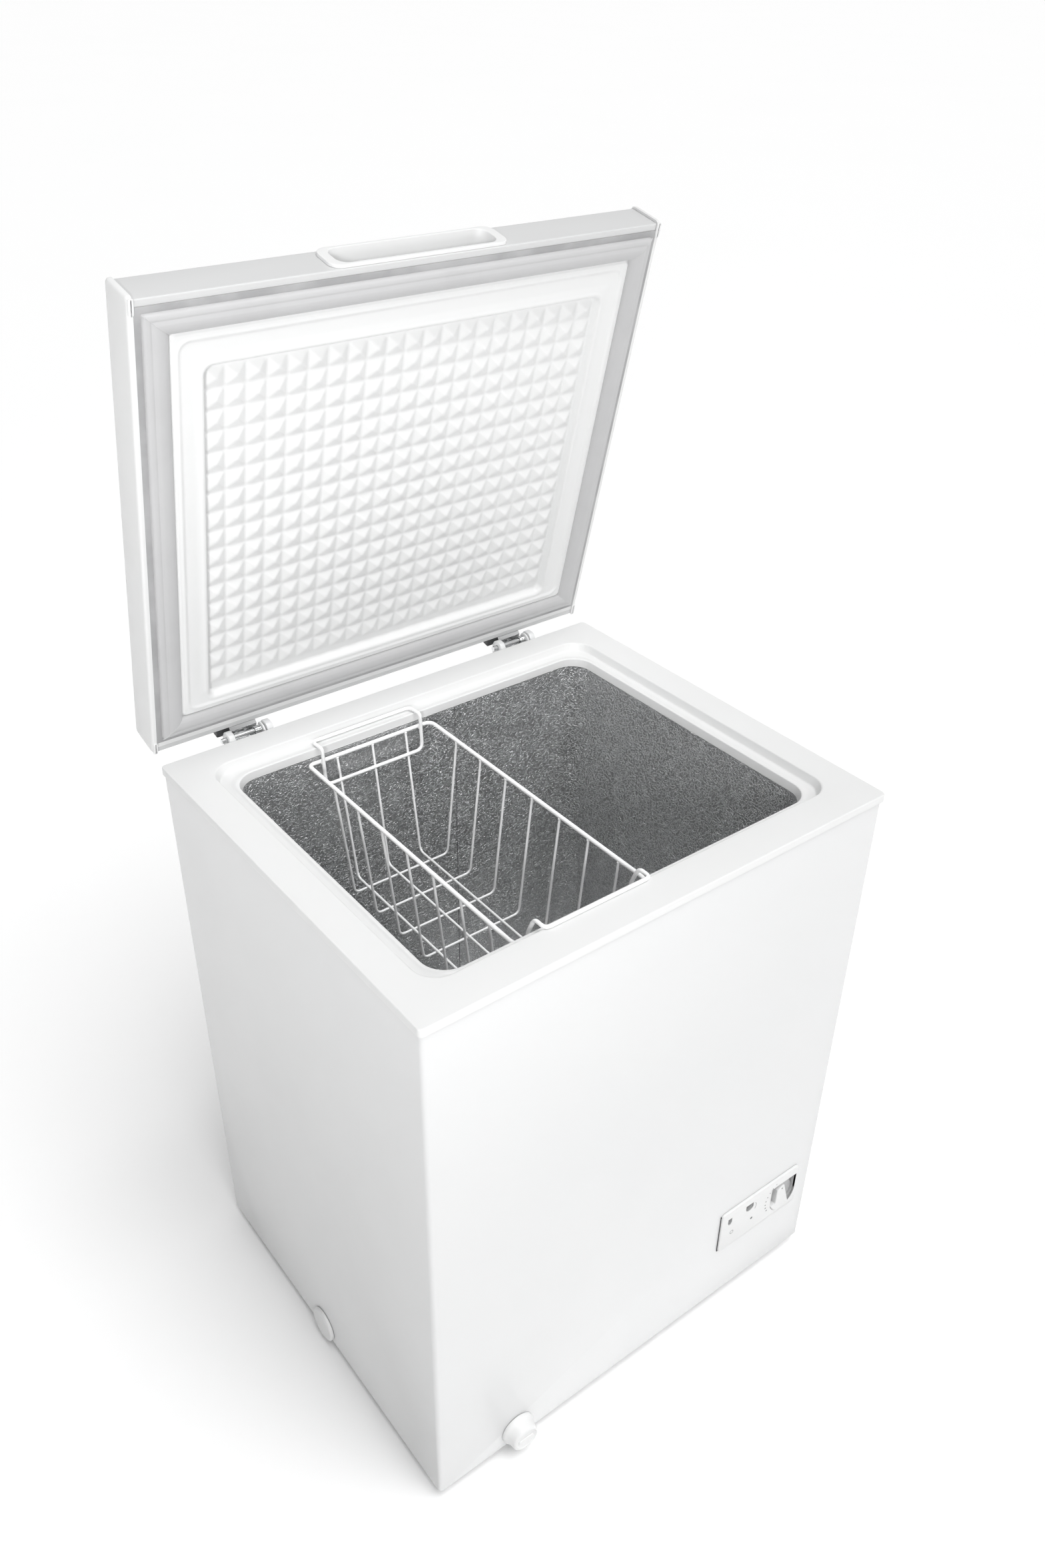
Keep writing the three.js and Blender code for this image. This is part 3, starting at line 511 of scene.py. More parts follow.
# ---------------------------------------------------------------- cabinet
def cabinet_shell():
    """The painted sheet, folded round the front and sides, with its lower edge and rear edges turned in."""
    x, y, low, high = SHELL_HIGH.x, -SHELL_LOW.y, SHELL_LOW.z, SHELL_HIGH.z
    sheet, fold = 1.0, 5.0
    rear = y - 1.2      # the rear folds lie behind the back sheet

    def wrap(off, z):
        """The sheet's run in plan, off inside its face: right rear, front, left rear."""
        r = fold - off
        line = [(x - off - 11, rear), (x - off, rear)]
        for cx, start in ((x - fold, 0), (-x + fold, -90)):
            for i in range(7):
                a = math.radians(start - 90 * i / 6)
                line.append((cx + r * math.cos(a), -y + fold + r * math.sin(a)))
        line += [(-x + off, rear), (-x + off + 11, rear)]
        return [(u, v, z) for u, v in line]

    rows = [wrap(12, low + 0.2), wrap(1.2, low), wrap(0.35, low + 0.35), wrap(0, low + 1.2), wrap(0, high)]
    n = len(rows[0])
    piece = raw_object("cabinet_shell", ([p for row in rows for p in row], grid_faces(len(rows), n)))
    if piece.data.polygons[-n // 2].normal.y > 0:
        piece.data.flip_normals()
    thickened(piece, sheet)
    drain = moved(along_y(lathe([(13, -6), (13, 6)])), DRAIN["x"], -y, DRAIN["z"])
    side = moved(along_x(lathe([(15, -6), (15, 6)])), -x, SIDE_CAP["y"], SIDE_CAP["z"])
    p = PANEL
    window = block(p["left"] + 7, p["right"] - 1.2, -y - 4, -y + 4, p["low"] + 2.5, p["high"] - 7)
    carved(piece, drain, side, window)
    return settle(piece, "cabinet", "white_paint", "outer_shell")


def rim_moulding():
    """Flange, groove and lip, as one moulding round the mouth. Each row holds its half width, front, back,
    corner and height, and the radius that rounds it."""
    top = RIM_TOP
    rows = [
        ((RIM_X, -RIM_Y, RIM_Y, 5, top - 10), 0.5),
        ((RIM_X, -RIM_Y, RIM_Y, 5, top), 1.3),
        ((275.5, -222.4, 229.6, 29, top), 1.6),
        ((271.6, -219.6, 227.6, 28, top - 10.4), 1.6),
        ((263.5, -214.2, 217.0, 30, top - 10.8), 1.2),
        ((260.6, -213.0, 211.0, 30, top - 9.3), 0.9),
        ((257.2, -210.4, 208.8, 29, top - 9.6), 1.2),
        ((MOUTH["x"] + 0.2, MOUTH["front"] - 0.2, MOUTH["back"] + 0.2, 28, MOUTH["edge"]), 0.4),
        ((257, -211, 211, 29, MOUTH["edge"]), 0),
        ((260.5, -214.6, 214.6, 31, top - 14), 0),
        ((273.6, -221.2, 229.8, 32, top - 13.8), 0),
        ((277.6, -224.0, 232.0, 32, top - 3), 0),
        ((RIM_X - 2.3, -RIM_Y + 2.3, RIM_Y - 2.3, 2.7, top - 3), 0),
        ((RIM_X - 2.3, -RIM_Y + 2.3, RIM_Y - 2.3, 2.7, top - 10), 0),
    ]
    line = soften([row for row, _ in rows], [fillet for _, fillet in rows], 5, closed=True)
    rings = [ring(-x, x, front, back, corner, z, 10) for x, front, back, corner, z in line]
    piece = raw_object("rim_moulding", loft(rings, closed=True))
    return settle(piece, "cabinet", "white_plastic", "rim_frame")


def tub_outline():
    """The tub's plan, with a point about every 5 mm along its straight sides."""
    step = 5.0
    corners = ring(-MOUTH["x"], MOUTH["x"], MOUTH["front"], MOUTH["back"], MOUTH["corner"], 0, 10)
    points = []
    for i, here in enumerate(corners):
        after = corners[(i + 1) % len(corners)]
        gap = math.dist(here, after)
        cuts = max(1, round(gap / step))
        points += [tuple(np.array(here) + (np.array(after) - here) * k / cuts) for k in range(cuts)]
    return points


DENTS = (
    # x, y, z, how wide, how tall, how deep: knocks in the right wall, creases in the back wall
    (254, 161, 709, 5, 8, -1.0), (254, 155, 697, 4, 5, -0.7), (254, 122, 703, 6, 4, -0.7),
    (254, 64, 706, 4, 7, -0.8), (254, 84, 662, 4, 5, -0.7), (254, 58, 594, 5, 6, -0.8),
    (254, 8, 713, 12, 4, 0.5),
    (-104, 208, 734, 34, 6, 2.2), (-38, 208, 729, 32, 6, 2.2), (-85, 208, 680, 5, 34, 1.8),
    (-37, 208, 672, 6, 38, 2.2), (-60, 208, 610, 14, 50, 1.2),
)


def sheet_swell(x, y, z):
    """How far the thin sheet stands in or out of true at a place on the tub."""
    swell = 0.9 * noise.noise(Vector((x / 95, y / 95, z / 150)))
    swell += 0.35 * noise.noise(Vector((x / 38 + 7, y / 38, z / 55)))
    for dx, dy, dz, wide, tall, deep in DENTS:
        aside = math.hypot(x - dx, y - dy) / wide
        swell += deep * math.exp(-aside ** 2 - ((z - dz) / tall) ** 2)
    return swell


def tub_lining():
    """Sheet round the food space: walls that swell a little, a floor, and a step over the compressor."""
    top, floor, step_x, step_top = MOUTH["edge"] - 0.4, TUB["floor"], TUB["step_x"], TUB["step_top"]
    plan = tub_outline()
    levels = list(np.linspace(top, step_top + 8, 92)) + [step_top + 3, step_top]
    work = bmesh.new()

    def wall_point(x, y, z):
        inward = Vector((-x if abs(x) > MOUTH["x"] - 26 else 0, 0, 0)).normalized()
        side = max(-1, min(1, (y - 4) / 180))
        push = inward if inward.length and abs(side) < 0.97 else Vector((0, -math.copysign(1, side), 0))
        fade = min(1, (top - z) / 22) * min(1, max(0, z - step_top) / 30)
        corner = min(1, max(0, (MOUTH["x"] - abs(x)) / 30 + max(0, 0.97 - abs(side)) * 8))
        return Vector((x, y, z)) + push * sheet_swell(x, y, z) * fade * corner

    rows = [[work.verts.new(wall_point(x, y, z)) for x, y, _ in plan] for z in levels]
    for upper, lower in zip(rows, rows[1:]):
        for i in range(len(plan)):
            k = (i + 1) % len(plan)
            work.faces.new((upper[i], upper[k], lower[k], lower[i]))

    # below the step's top only the left part goes on down, closed by the step's own upright wall
    last = rows[-1]
    left = [i for i, (x, _, _) in enumerate(plan) if x <= step_x]
    start = next(i for i in left if (i - 1) % len(plan) not in left)
    order = [(start + k) % len(plan) for k in range(len(left))]
    edge_back = work.verts.new((step_x, MOUTH["back"], step_top))
    edge_front = work.verts.new((step_x, MOUTH["front"], step_top))
    upper = [edge_back] + [last[i] for i in order] + [edge_front]
    for z in (step_top - 60, floor + 60, floor):
        lower = [work.verts.new((v.co.x, v.co.y, z)) for v in upper]
        for i in range(len(upper)):
            k = (i + 1) % len(upper)
            work.faces.new((upper[i], upper[k], lower[k], lower[i]))
        upper = lower
    work.faces.new(upper)
    right = [i for i in range(len(plan)) if plan[i][0] > step_x]
    first = next(i for i in right if (i - 1) % len(plan) not in right)
    ledge = [last[(first + k) % len(plan)] for k in range(len(right))]
    work.faces.new([edge_front] + ledge + [edge_back])
    bmesh.ops.triangulate(work, faces=[f for f in work.faces if len(f.verts) > 4])
    mesh = bpy.data.meshes.new("tub_lining")
    work.to_mesh(mesh)
    work.free()
    piece = bpy.data.objects.new("tub_lining", mesh)
    SCENE.collection.objects.link(piece)
    return piece


def finished_tub():
    """The tub with its sheet facing the food space and its drain cut out."""
    piece = tub_lining()
    wall = piece.data.polygons[0]
    if wall.normal.dot(Vector((0, 4, 0)) - wall.center) < 0:
        piece.data.flip_normals()
    drain = moved(lathe([(12, -9), (12, 9)]), DRAIN["x"], DRAIN["y"], TUB["floor"])
    thickened(piece, TUB["sheet"])
    carved(piece, drain)
    return settle(piece, "cabinet", "liner_sheet", "inner_liner", sharp=30)


def tub_seam():
    """The lap where the sheet's two ends meet down the back wall, with a black strip along its edge as painted
    shade of the crack.
    """
    x, y = 54, MOUTH["back"]
    low, high = TUB["step_top"] + 2, MOUTH["edge"] - 1
    outline = [(x - 5, y + 0.4), (x - 4, y - 0.4), (x - 1, y - 0.8), (x - 0.1, y - 0.7), (x + 0.1, y + 0.4)]
    settle(raw_object("tub_seam", extrude(outline, low, high)), "cabinet", "liner_sheet")
    # a black strip along the lap's edge: painted shade of the crack
    outline = [(x + 0.1, y + 0.4), (x + 0.1, y - 0.55), (x + 0.8, y - 0.45), (x + 1.1, y + 0.4)]
    settle(raw_object("tub_seam_shade_strip", extrude(outline, low, high)), "cabinet", "black_rubber")


def back_sheet():
    """The rear panel, notched round the compressor's grille, with a pressed field that stiffens it."""
    x, y, low, high = SHELL_HIGH.x - 1.3, SHELL_HIGH.y, SHELL_LOW.z, SHELL_HIGH.z
    us = sorted(set(list(np.linspace(-x, x, 90)) + [MACHINE["x"]]))
    vs = sorted(set(list(np.linspace(low, high, 110)) + [MACHINE["top"]]))

    def pressed(u, v, left, right, bottom, top, height):
        inside = min(u - left, right - u, v - bottom, top - v)
        t = max(0.0, min(1.0, inside / 7.0))
        return height * t * t * (3 - 2 * t)

    def depth(u, v):
        field = pressed(u, v, -270, 270, 300, 670, 2.2)
        lower = pressed(u, v, -270, 60, 60, 250, 2.2)
        ribs = sum(pressed(u, v, -240, 240, z, z + 26, 1.6) for z in (360, 470, 580))
        return field + lower - ribs

    verts = [(u, y + depth(u, v), v) for v in vs for u in us]
    n = len(us)
    faces = []
    for j in range(len(vs) - 1):
        for i in range(n - 1):
            if us[i] >= MACHINE["x"] - 0.01 and vs[j + 1] <= MACHINE["top"] + 0.01:
                continue
            faces.append((j * n + i, (j + 1) * n + i, (j + 1) * n + i + 1, j * n + i + 1))
    piece = raw_object("back_sheet", (verts, faces))
    if piece.data.polygons[0].normal.y < 0:
        piece.data.flip_normals()
    thickened(piece, 1.0)
    return settle(piece, "cabinet", "white_paint", "back_panel")


def rear_grille():
    """A zinc cover with pressed louvres over the compressor."""
    low, high = drawn_box("rear_grille")
    y = high.y
    plate = block(low.x, high.x, y - 1, y, low.z, high.z)
    piece = raw_object("grille_cover", plate)
    middle, rows = (low.x + high.x) / 2, range(9)
    slot = along_y(extrude(capsule(high.x - low.x - 64, 6), -4, 4))
    slots = [moved(slot, middle, y, 81 + 17 * i) for i in rows]
    hole = moved(along_y(lathe([(9, -4), (9, 4)], 32)), 270, y, 45)
    carved(piece, *slots, hole)
    bevelled(piece, 0.35, 2)
    hoods = [louvre(middle, y, 84 + 17 * i, (high.x - low.x - 60) / 2) for i in rows]
    joined(piece, raw_object("louvres", together(*hoods)))
    return settle(piece, "cabinet", "zinc_sheet", "rear_grille")


def louvre(x, y, z, half):
    """A hood pressed out above a slot: a quarter round that dies away at both ends."""
    rows = []
    for t in np.linspace(-1, 1, 25):
        swell = math.sqrt(max(0.0, 1 - abs(t) ** 6)) * 4.0
        line = [(x + half * t, y - 0.4, z + 4.6), (x + half * t, y + 0.3, z + 4.6)]
        for a in np.linspace(90, 0, 6):
            line.append((x + half * t, y + swell * math.cos(math.radians(a)) + 0.3,
                         z + 0.6 + 4 * math.sin(math.radians(a))))
        line += [(x + half * t, y + swell * 0.75, z + 0.6), (x + half * t, y - 0.4, z + 3.4)]
        rows.append(line)
    return loft(rows, first=True, last=True)


def capsule(length, height):
    """A flat bar with round ends."""
    r = height / 2
    return arc(length / 2 - r, 0, r, -90, 90, 9) + arc(r - length / 2, 0, r, 90, 270, 9)


def joined(first, *others):
    """Copies the other pieces' meshes into the first one."""
    work = bmesh.new()
    work.from_mesh(first.data)
    for other in others:
        work.from_mesh(other.data)
        bpy.data.objects.remove(other)
    work.to_mesh(first.data)
    work.free()
    return first


def feet():
    """Four moulded feet with a soft lower edge and a waist groove."""
    profile = [(0, 0), (15.5, 0), (17.6, 0.5), (19.4, 1.6), (20, 3.2), (20, 7.4), (19.2, 8.2), (19.2, 9),
               (20, 9.8), (19, 11.4), (15.8, 14.9), (0, 15)]
    for end, y in (("front", -225), ("rear", 225)):
        for side, x in (("left", -270), ("right", 270)):
            piece = raw_object(f"foot_pad_{end}_{side}", moved(lathe(profile), x, y, 0))
            settle(piece, "cabinet", "black_plastic", f"foot_{end}_{side}")


def side_plug():
    """A shallow domed cap pressed into a hole low on the left side."""
    face = SHELL_LOW.x
    profile = [(0, 4), (13.4, 4), (13.4, -0.4), (23.4, -0.4), (24, -1), (24, -3.4), (23.2, -4.6),
               (21.6, -5.4), (14, -5.9), (0, -6.1)]
    piece = raw_object("side_plug", moved(along_x(lathe(profile, 64)), face, SIDE_CAP["y"], SIDE_CAP["z"]))
    return settle(piece, "cabinet", "white_plastic", "side_cap")


def drain_cap():
    """The front drain's cap: a wide skirt that domes forward into a narrower turned end with a grip bar."""
    profile = [(0, -17.5), (7.5, -17.5), (8.5, -16), (8.5, 0), (22.4, 0), (23, 0.6), (23, 3.4), (22.2, 5),
               (20.6, 7.5), (19.4, 11), (18.8, 15.5), (18.2, 18.4), (16.8, 19.8), (15.2, 20), (14.2, 18.9),
               (12.6, 18.6), (0, 18.6)]
    shape = along_y(together(lathe(profile, 64), extrude(capsule(23, 5), 16, 20.2)))
    piece = raw_object("drain_cap_turned", moved(shape, DRAIN["x"], FACE_Y, DRAIN["z"]))
    return settle(piece, "front_drain_cap", "white_plastic", "drain_cap")


def drain_plug():
    """A flanged plug with a pull in the tub's floor."""
    profile = [(0, -21.5), (7.4, -21.5), (8.4, -20), (8.4, 0.3), (17.5, 0.3), (18, 0.8), (18, 2.2), (17, 3),
               (8, 3.8), (6.6, 5), (6.2, 9), (5.2, 10), (0, 10)]
    piece = raw_object("drain_plug_turned", moved(lathe(profile), DRAIN["x"], DRAIN["y"], TUB["floor"]))
    return settle(piece, "inner_drain_plug", "white_plastic", "drain_plug")


# ---------------------------------------------------------------- control panel
def control_panel():
    """A flat plate with softened edges, two windows and a well for the dial, grey as painted shade of the recess.
    """
    face = FACE_Y
    middle_x, middle_z = (PANEL["left"] + PANEL["right"]) / 2, (PANEL["low"] + PANEL["high"]) / 2
    half_x, half_z = PANEL["right"] - middle_x, PANEL["high"] - middle_z
    rows = [(0, 0, 6), (0, 2.2, 6), (0.25, 2.8, 5.7), (0.8, 3.2, 5.2)]
    rings = [ring(-half_x + off, half_x - off, -half_z + off, half_z - off, r, h, 8) for off, h, r in rows]
    plate = moved(along_y(loft(rings, first=True, last=True)), middle_x, face, middle_z)
    piece = raw_object("control_plate", plate)
    well = moved(along_y(extrude(dial_outline(DIAL["r"]), -30, 10)), DIAL["x"], face, DIAL["z"])
    windows = [moved(along_y(extrude(window_outline(*size), -6, 8)), x, face, z) for x, z, size in WINDOWS]
    carved(piece, well, *windows)
    cup = along_y(open_cup(DIAL["r"], DIAL["r"] + 1.2, -(DIAL["depth"] - PANEL["proud"]), 2.9))
    settle(piece, "cabinet", "white_plastic", "control_panel")
    cup = raw_object("dial_well", moved(cup, DIAL["x"], face, DIAL["z"]))
    # the well's grey is painted shade of the recess
    settle(cup, "cabinet", "white_plastic", finish="grey_plastic")
    left, low, high = PANEL["left"], PANEL["low"], PANEL["high"]
    # a black strip along the plate's left edge: a painted shadow line
    gap = block(left - 0.4, left + 1, face - 0.9, face + 0.2, low + 1, high - 3)
    return settle(raw_object("panel_edge_shadow_strip", gap), "cabinet", "white_plastic", finish="black_rubber")


# each window's place along x and z, and its width and height
WINDOWS = ((153.5, 163, (7.2, 12.6)), (190.5, 164.5, (14.2, 12.8)))


def window_outline(width, height):
    """Square above and round below."""
    u, v = width / 2, height / 2
    lower = [(u * a, v * b) for a, b in arc(0, 0, 1, 180, 360, 11)[1:-1]]
    return list(reversed([(-u, v), (-u, 0)] + lower + [(u, 0), (u, v)]))


def dial_outline(r):
    """The well's outline: round below, and carried straight up to a square top."""
    top = r + 4.5
    return arc(0, 0, r, 180, 360, 40) + [(r, top), (-r, top)]


def open_cup(inner, outer, low, high):
    """The dial's well behind the plate: a thin wall and a floor."""
    rows = [(outer, high), (outer, low - 1.2), (0, low - 1.2), (0, low), (inner - 1.5, low),
            (inner - 0.4, low + 0.4), (inner, low + 1.5), (inner, high)]
    rings = [[(u, v, h) for u, v in dial_outline(max(r, 0.01))] for r, h in rows]
    return loft(rings, closed=True)


def panel_lenses():
    """A smoked lens in each window."""
    names = (("lens_left", "power_lens"), ("lens_right", "run_lens"))
    for (name, node), (x, z, (width, height)) in zip(names, WINDOWS):
        outline = window_outline(width - 0.7, height - 0.7)
        shape = moved(along_y(extrude(outline, -1.5, 2.6)), x, FACE_Y, z)
        piece = bevelled(raw_object(name, shape), 0.5, 3)
        settle(piece, "cabinet", "smoked_lens", node)


def panel_marks():
    """Plain printed marks: a ring, a dot, an arc beside the second lens and ticks beside the dial."""
    face = FACE_Y - PANEL["proud"]
    sunk, height, width = -0.02, 0.06, 0.7

    def stroke(cx, cz, r, start, end):
        outer, inner = (arc(0, 0, r + off, start, end, 14) for off in (width / 2, -width / 2))
        return moved(along_y(extrude(outer + inner[::-1], sunk, height)), cx, face, cz)

    def dot(x, z, r, sides):
        return moved(along_y(lathe([(r, sunk), (r, height)], sides)), x, face, z)

    marks = [stroke(159.5, 138.5, 2.9, 0, 180), stroke(159.5, 138.5, 2.9, 180, 360), dot(197, 138.5, 2.1, 20),
             stroke(192, 161, 11, -34, 34)]
    for i in range(8):
        a = math.radians(118 + 13 * i)
        x, z = DIAL["x"] + 34 * math.cos(a), DIAL["z"] + 6 + 31.5 * math.sin(a)
        marks.append(dot(x, z, 0.7 + 0.09 * i, 12))
    return settle(raw_object("panel_marks", together(*marks)), "cabinet", "smoked_lens", finish="ink")


def thermostat_knob():
    """A disc in the well, grey as painted shade of the recess, under a raised white grip, which leaves a scoop
    at its right and one at its upper left, with a pointer dot near its top."""
    floor = FACE_Y - PANEL["proud"] + DIAL["depth"] - 1
    r, edge = DIAL["r"] - 0.8, DIAL["r"] - 0.6

    def in_well(name, shape):
        return raw_object(name, moved(along_y(shape), DIAL["x"], floor, DIAL["z"]))

    disc = lathe([(0, 0.4), (r - 0.5, 0.4), (r, 0.9), (r, 1.8), (r - 0.6, 2.5), (r - 2.4, 2.7), (0, 2.7)], 64)
    # the disc's grey is painted shade of the recess
    settle(in_well("thermostat_disc", disc), "knob", "white_plastic", finish="grey_plastic")
    outline = arc(0, 0, edge, 198, 304, 30) + arc(0, 0, edge, 90, 124, 10) + [(-13, -7.2)]
    grip = bevelled(in_well("thermostat_grip", extrude(outline, 2.2, 10)), 0.9, 3)
    settle(grip, "knob", "white_plastic", "thermostat_knob")
    dot = moved(lathe([(1.1, 9.8), (1.1, 10.12)], 16), -4, edge - 5)
    settle(in_well("pointer_dot", dot), "knob", "white_plastic", finish="black_plastic")


# ---------------------------------------------------------------- hinges
def hinge_bracket(index, x):
    """A plate on the cabinet's back with two thick lugs, a thin cheek beside the right one and a hole for
    the pin."""
    back = SHELL_HIGH.y + 0.3
    corners = [(back, 728), (back, 771), (RIM_Y + 0.9, 771), (RIM_Y + 0.9, 781), (272.5, 787.5),
               (284.5, 788.2), (289.5, 780), (289, 762), (272, 728)]
    side = soften(corners, [0, 0, 1, 3, 5, 5, 4, 8, 3], 5, closed=True)
    lugs = [along_x(extrude(side, x + at, x + at + wide)) for at, wide in ((-26, 7.6), (23.6, 8))]
    corners = [(269, 768), (269, 782), (275, 787), (284, 787), (288, 780), (287, 768)]
    cheek = along_x(extrude(soften(corners, [0, 3, 4, 4, 3, 0], 4), x + 19.4, x + 21.6))
    piece = raw_object(f"hinge_bracket_{index}_cast", together(*lugs, cheek))
    carved(piece, moved(along_x(lathe([(3.5, -60), (3.5, 60)], 32)), x, AXIS_Y, AXIS_Z))
    bevelled(piece, 0.9, 3)
    joined(piece, bevelled(raw_object("plate", block(x - 33, x + 33, back, back + 2.4, 700, 771)), 0.6, 2))
    return settle(piece, "cabinet", "white_paint", f"hinge_bracket_{index}")


def hinge_leaf(index, x):
    """A bright channel that wraps the pin from behind, with a cheek at its left and a strap up the lid."""
    y, z = AXIS_Y, AXIS_Z
    strap = LID["back"] + 0.4
    outer = [(strap, LID["top"] - 6), (strap + 2.2, LID["top"] - 6), (strap + 2.2, z + 13.5)]
    outer += arc(y, z, 10.6, 96, -62, 22)
    inner = arc(y, z, 9.2, -62, 104, 22)
    inner += [(strap, z + 13.5)]
    channel = along_x(extrude(outer + inner, x - 16.4, x + 18.6))
    cheek_outline = arc(y, z, 9.6, 100, -58, 16) + arc(y, z, 5.2, -80, -240, 12)
    cheek = along_x(extrude(cheek_outline, x - 18, x - 16.4))
    piece = raw_object(f"hinge_leaf_{index}_channel", together(channel, cheek))
    bevelled(piece, 0.35, 2)
    return settle(piece, "lid", "hinge_chrome", f"hinge_leaf_{index}")


def hinge_spring(index, x):
    """A short tight spring at the right of the pin, with long straight legs that run back to the left lug."""
    turns, r, wire = 5, 4.6, 0.9
    y, z = AXIS_Y, AXIS_Z
    line = [(x - 22, y - 4.6, z - 3.4), (x + 9, y - 3.6, z - 3.2)]
    for i in range(turns * 14 + 1):
        a = 2 * math.pi * i / 14 - math.pi * 0.75
        line.append((x + 10 + 8.5 * i / (turns * 14), y + r * math.cos(a), z + r * math.sin(a)))
    line += [(x + 19.5, y - 5.2, z - 5.6)]
    leg = round_line([(x - 22, y - 7.4, z - 4.6), (x - 4, y - 7.2, z - 4.6), (x - 1, y - 5.4, z - 2.4),
                      (x + 11, y - 5.2, z - 2.6)], 1.5)
    piece = wires(f"hinge_coil_{index}", [(line, False), (leg, False)], wire, 10)
    return settle(piece, "cabinet", "hinge_chrome", f"hinge_spring_{index}", sharp=60)


def hinge_cover(index, x):
    """A black cover over the leaf's strap on the lid's back."""
    back = LID["back"] + 3.1
    outline = soften([(back, 792.5), (back, LID["top"] - 4), (back + 3, LID["top"] - 4), (back + 9.5, 802),
                      (back + 9.5, 792.5)], [0, 0, 2, 5, 1.5], 4, closed=True)
    shape = along_x(extrude(outline, x - 31.5, x + 12))
    piece = bevelled(raw_object(f"hinge_cover_{index}_shell", shape), 1.2, 3)
    return settle(piece, "lid", "black_plastic", f"hinge_cover_{index}")


def screw_head(x, y, z):
    """A plain pan head that faces backwards."""
    r = 3.6
    head = lathe([(0, -0.5), (r, -0.5), (r, 0.6), (r * 0.86, 1.5), (r * 0.5, 2.1), (0, 2.3)], 24)
    facing = [(a, c, b) for a, b, c in head[0]]
    return moved((facing, head[1]), x, y, z)


def rear_screws():
    """The cross-headed screws of the hinge plates, the compressor's grille and the back sheet's edges."""
    spots = [(x + dx, SHELL_HIGH.y + 2.7, z) for x in HINGE_X for dx in (-20, 20) for z in (709, 724)]
    low, high = drawn_box("rear_grille")
    spots += [(x, high.y, z) for x in (low.x + 9, high.x - 9) for z in (30, 130, 240)]
    edge = SHELL_HIGH.x - 14
    spots += [(side * edge, SHELL_HIGH.y + 0.2, z) for side in (-1, 1) for z in (300, 480, 660, 765)]
    spots += [(-edge, SHELL_HIGH.y + 0.2, z) for z in (30, 160)]
    heads = [raw_object("head", screw_head(*spot)) for spot in spots]
    piece = joined(heads[0], *heads[1:])
    piece.name = "rear_screws"
    for w, h in ((2, 0.4), (0.4, 2)):
        carved(piece, together(*[block(x - w, x + w, y + 1.6, y + 4, z - h, z + h) for x, y, z in spots]))
    return settle(piece, "cabinet", "zinc_sheet")


# ---------------------------------------------------------------- lid
def lid_skin():
    """The painted sheet bent over the lid's top, front and back, with its edges turned in underneath."""
    front, back, under, top, sheet, lip = (LID[k] for k in ("front", "back", "under", "top", "sheet", "lip"))
    line = [(front + lip, under + 1), (front + lip, under), (front, under), (front, top), (back, top),
            (back, under), (back - lip, under), (back - lip, under + 1)]
    radii = [0, 0.8, 1.6, 2.6, 2.6, 1.6, 0.8, 0]
    outer = soften(line, radii, 5)
    inner = [(front + lip + 0.02, under + 1), (front + sheet, under + 1), (front + sheet, top - sheet),
             (back - sheet, top - sheet), (back - sheet, under + 1), (back - lip - 0.02, under + 1)]
    inner_line = soften(inner[::-1], [0, 0.8, 1.6, 1.6, 0.8, 0], 5)
    half = LID["x"] - LID["cap"] - 0.7
    piece = raw_object("lid_skin_sheet", along_x(extrude(outer + inner_line, -half, half)))
    carved(piece, block(-HANDLE["pocket_x"] - 2, HANDLE["pocket_x"] + 2, front - 5, front + 5,
                        HANDLE["low"] - 2, HANDLE["high"] + 2))
    # the lid's paint is painted darker, as painted shade
    return settle(piece, "lid", "white_paint", "lid_skin", finish="lid_shaded_paint")


def lid_end_cap(side, sign):
    """A moulded end: a soft-edged bar that stands proud of the skin, with two locating tabs below."""
    front, back, under, top = (LID[k] for k in ("front", "back", "under", "top"))
    rows = [(0, 0), (0, 2.6), (0.25, 3.8), (0.9, 4.7), (1.9, 5.3), (3.4, 5.6)]
    rings = [ring(front - 2.7 + off, back + 1 - off, under - 1 + off, top + 1 - off, 5, h, 8)
             for off, h in rows]
    bar = loft(rings, first=True, last=True)
    inner = LID["x"] - LID["cap"]
    bar = ([(inner + w, u, v) for u, v, w in bar[0]], bar[1])
    runs = ((front - 2.0, front + 15), (back - 15, back + 0.6))
    tabs = [tab_shape(inner - 0.8, inner + 4.8, y0, y1) for y0, y1 in runs]
    shape = together(bar, *tabs)
    if sign < 0:
        shape = ([(-a, b, c) for a, b, c in shape[0]], [tuple(reversed(f)) for f in shape[1]])
    piece = raw_object(f"end_cap_{side}", shape)
    return settle(piece, "lid", "white_plastic", f"lid_end_cap_{side}")


def tab_shape(x0, x1, y0, y1):
    """A shallow tab under the lid's edge, softened below."""
    under = LID["under"]
    rings = [ring(x0 + off, x1 - off, y0 + off, y1 - off, 2.4, z, 6)
             for off, z in ((0, under - 0.5), (0, under - 1.7), (0.3, under - 2.2), (0.9, under - 2.4))]
    return loft(rings, first=True, last=True)


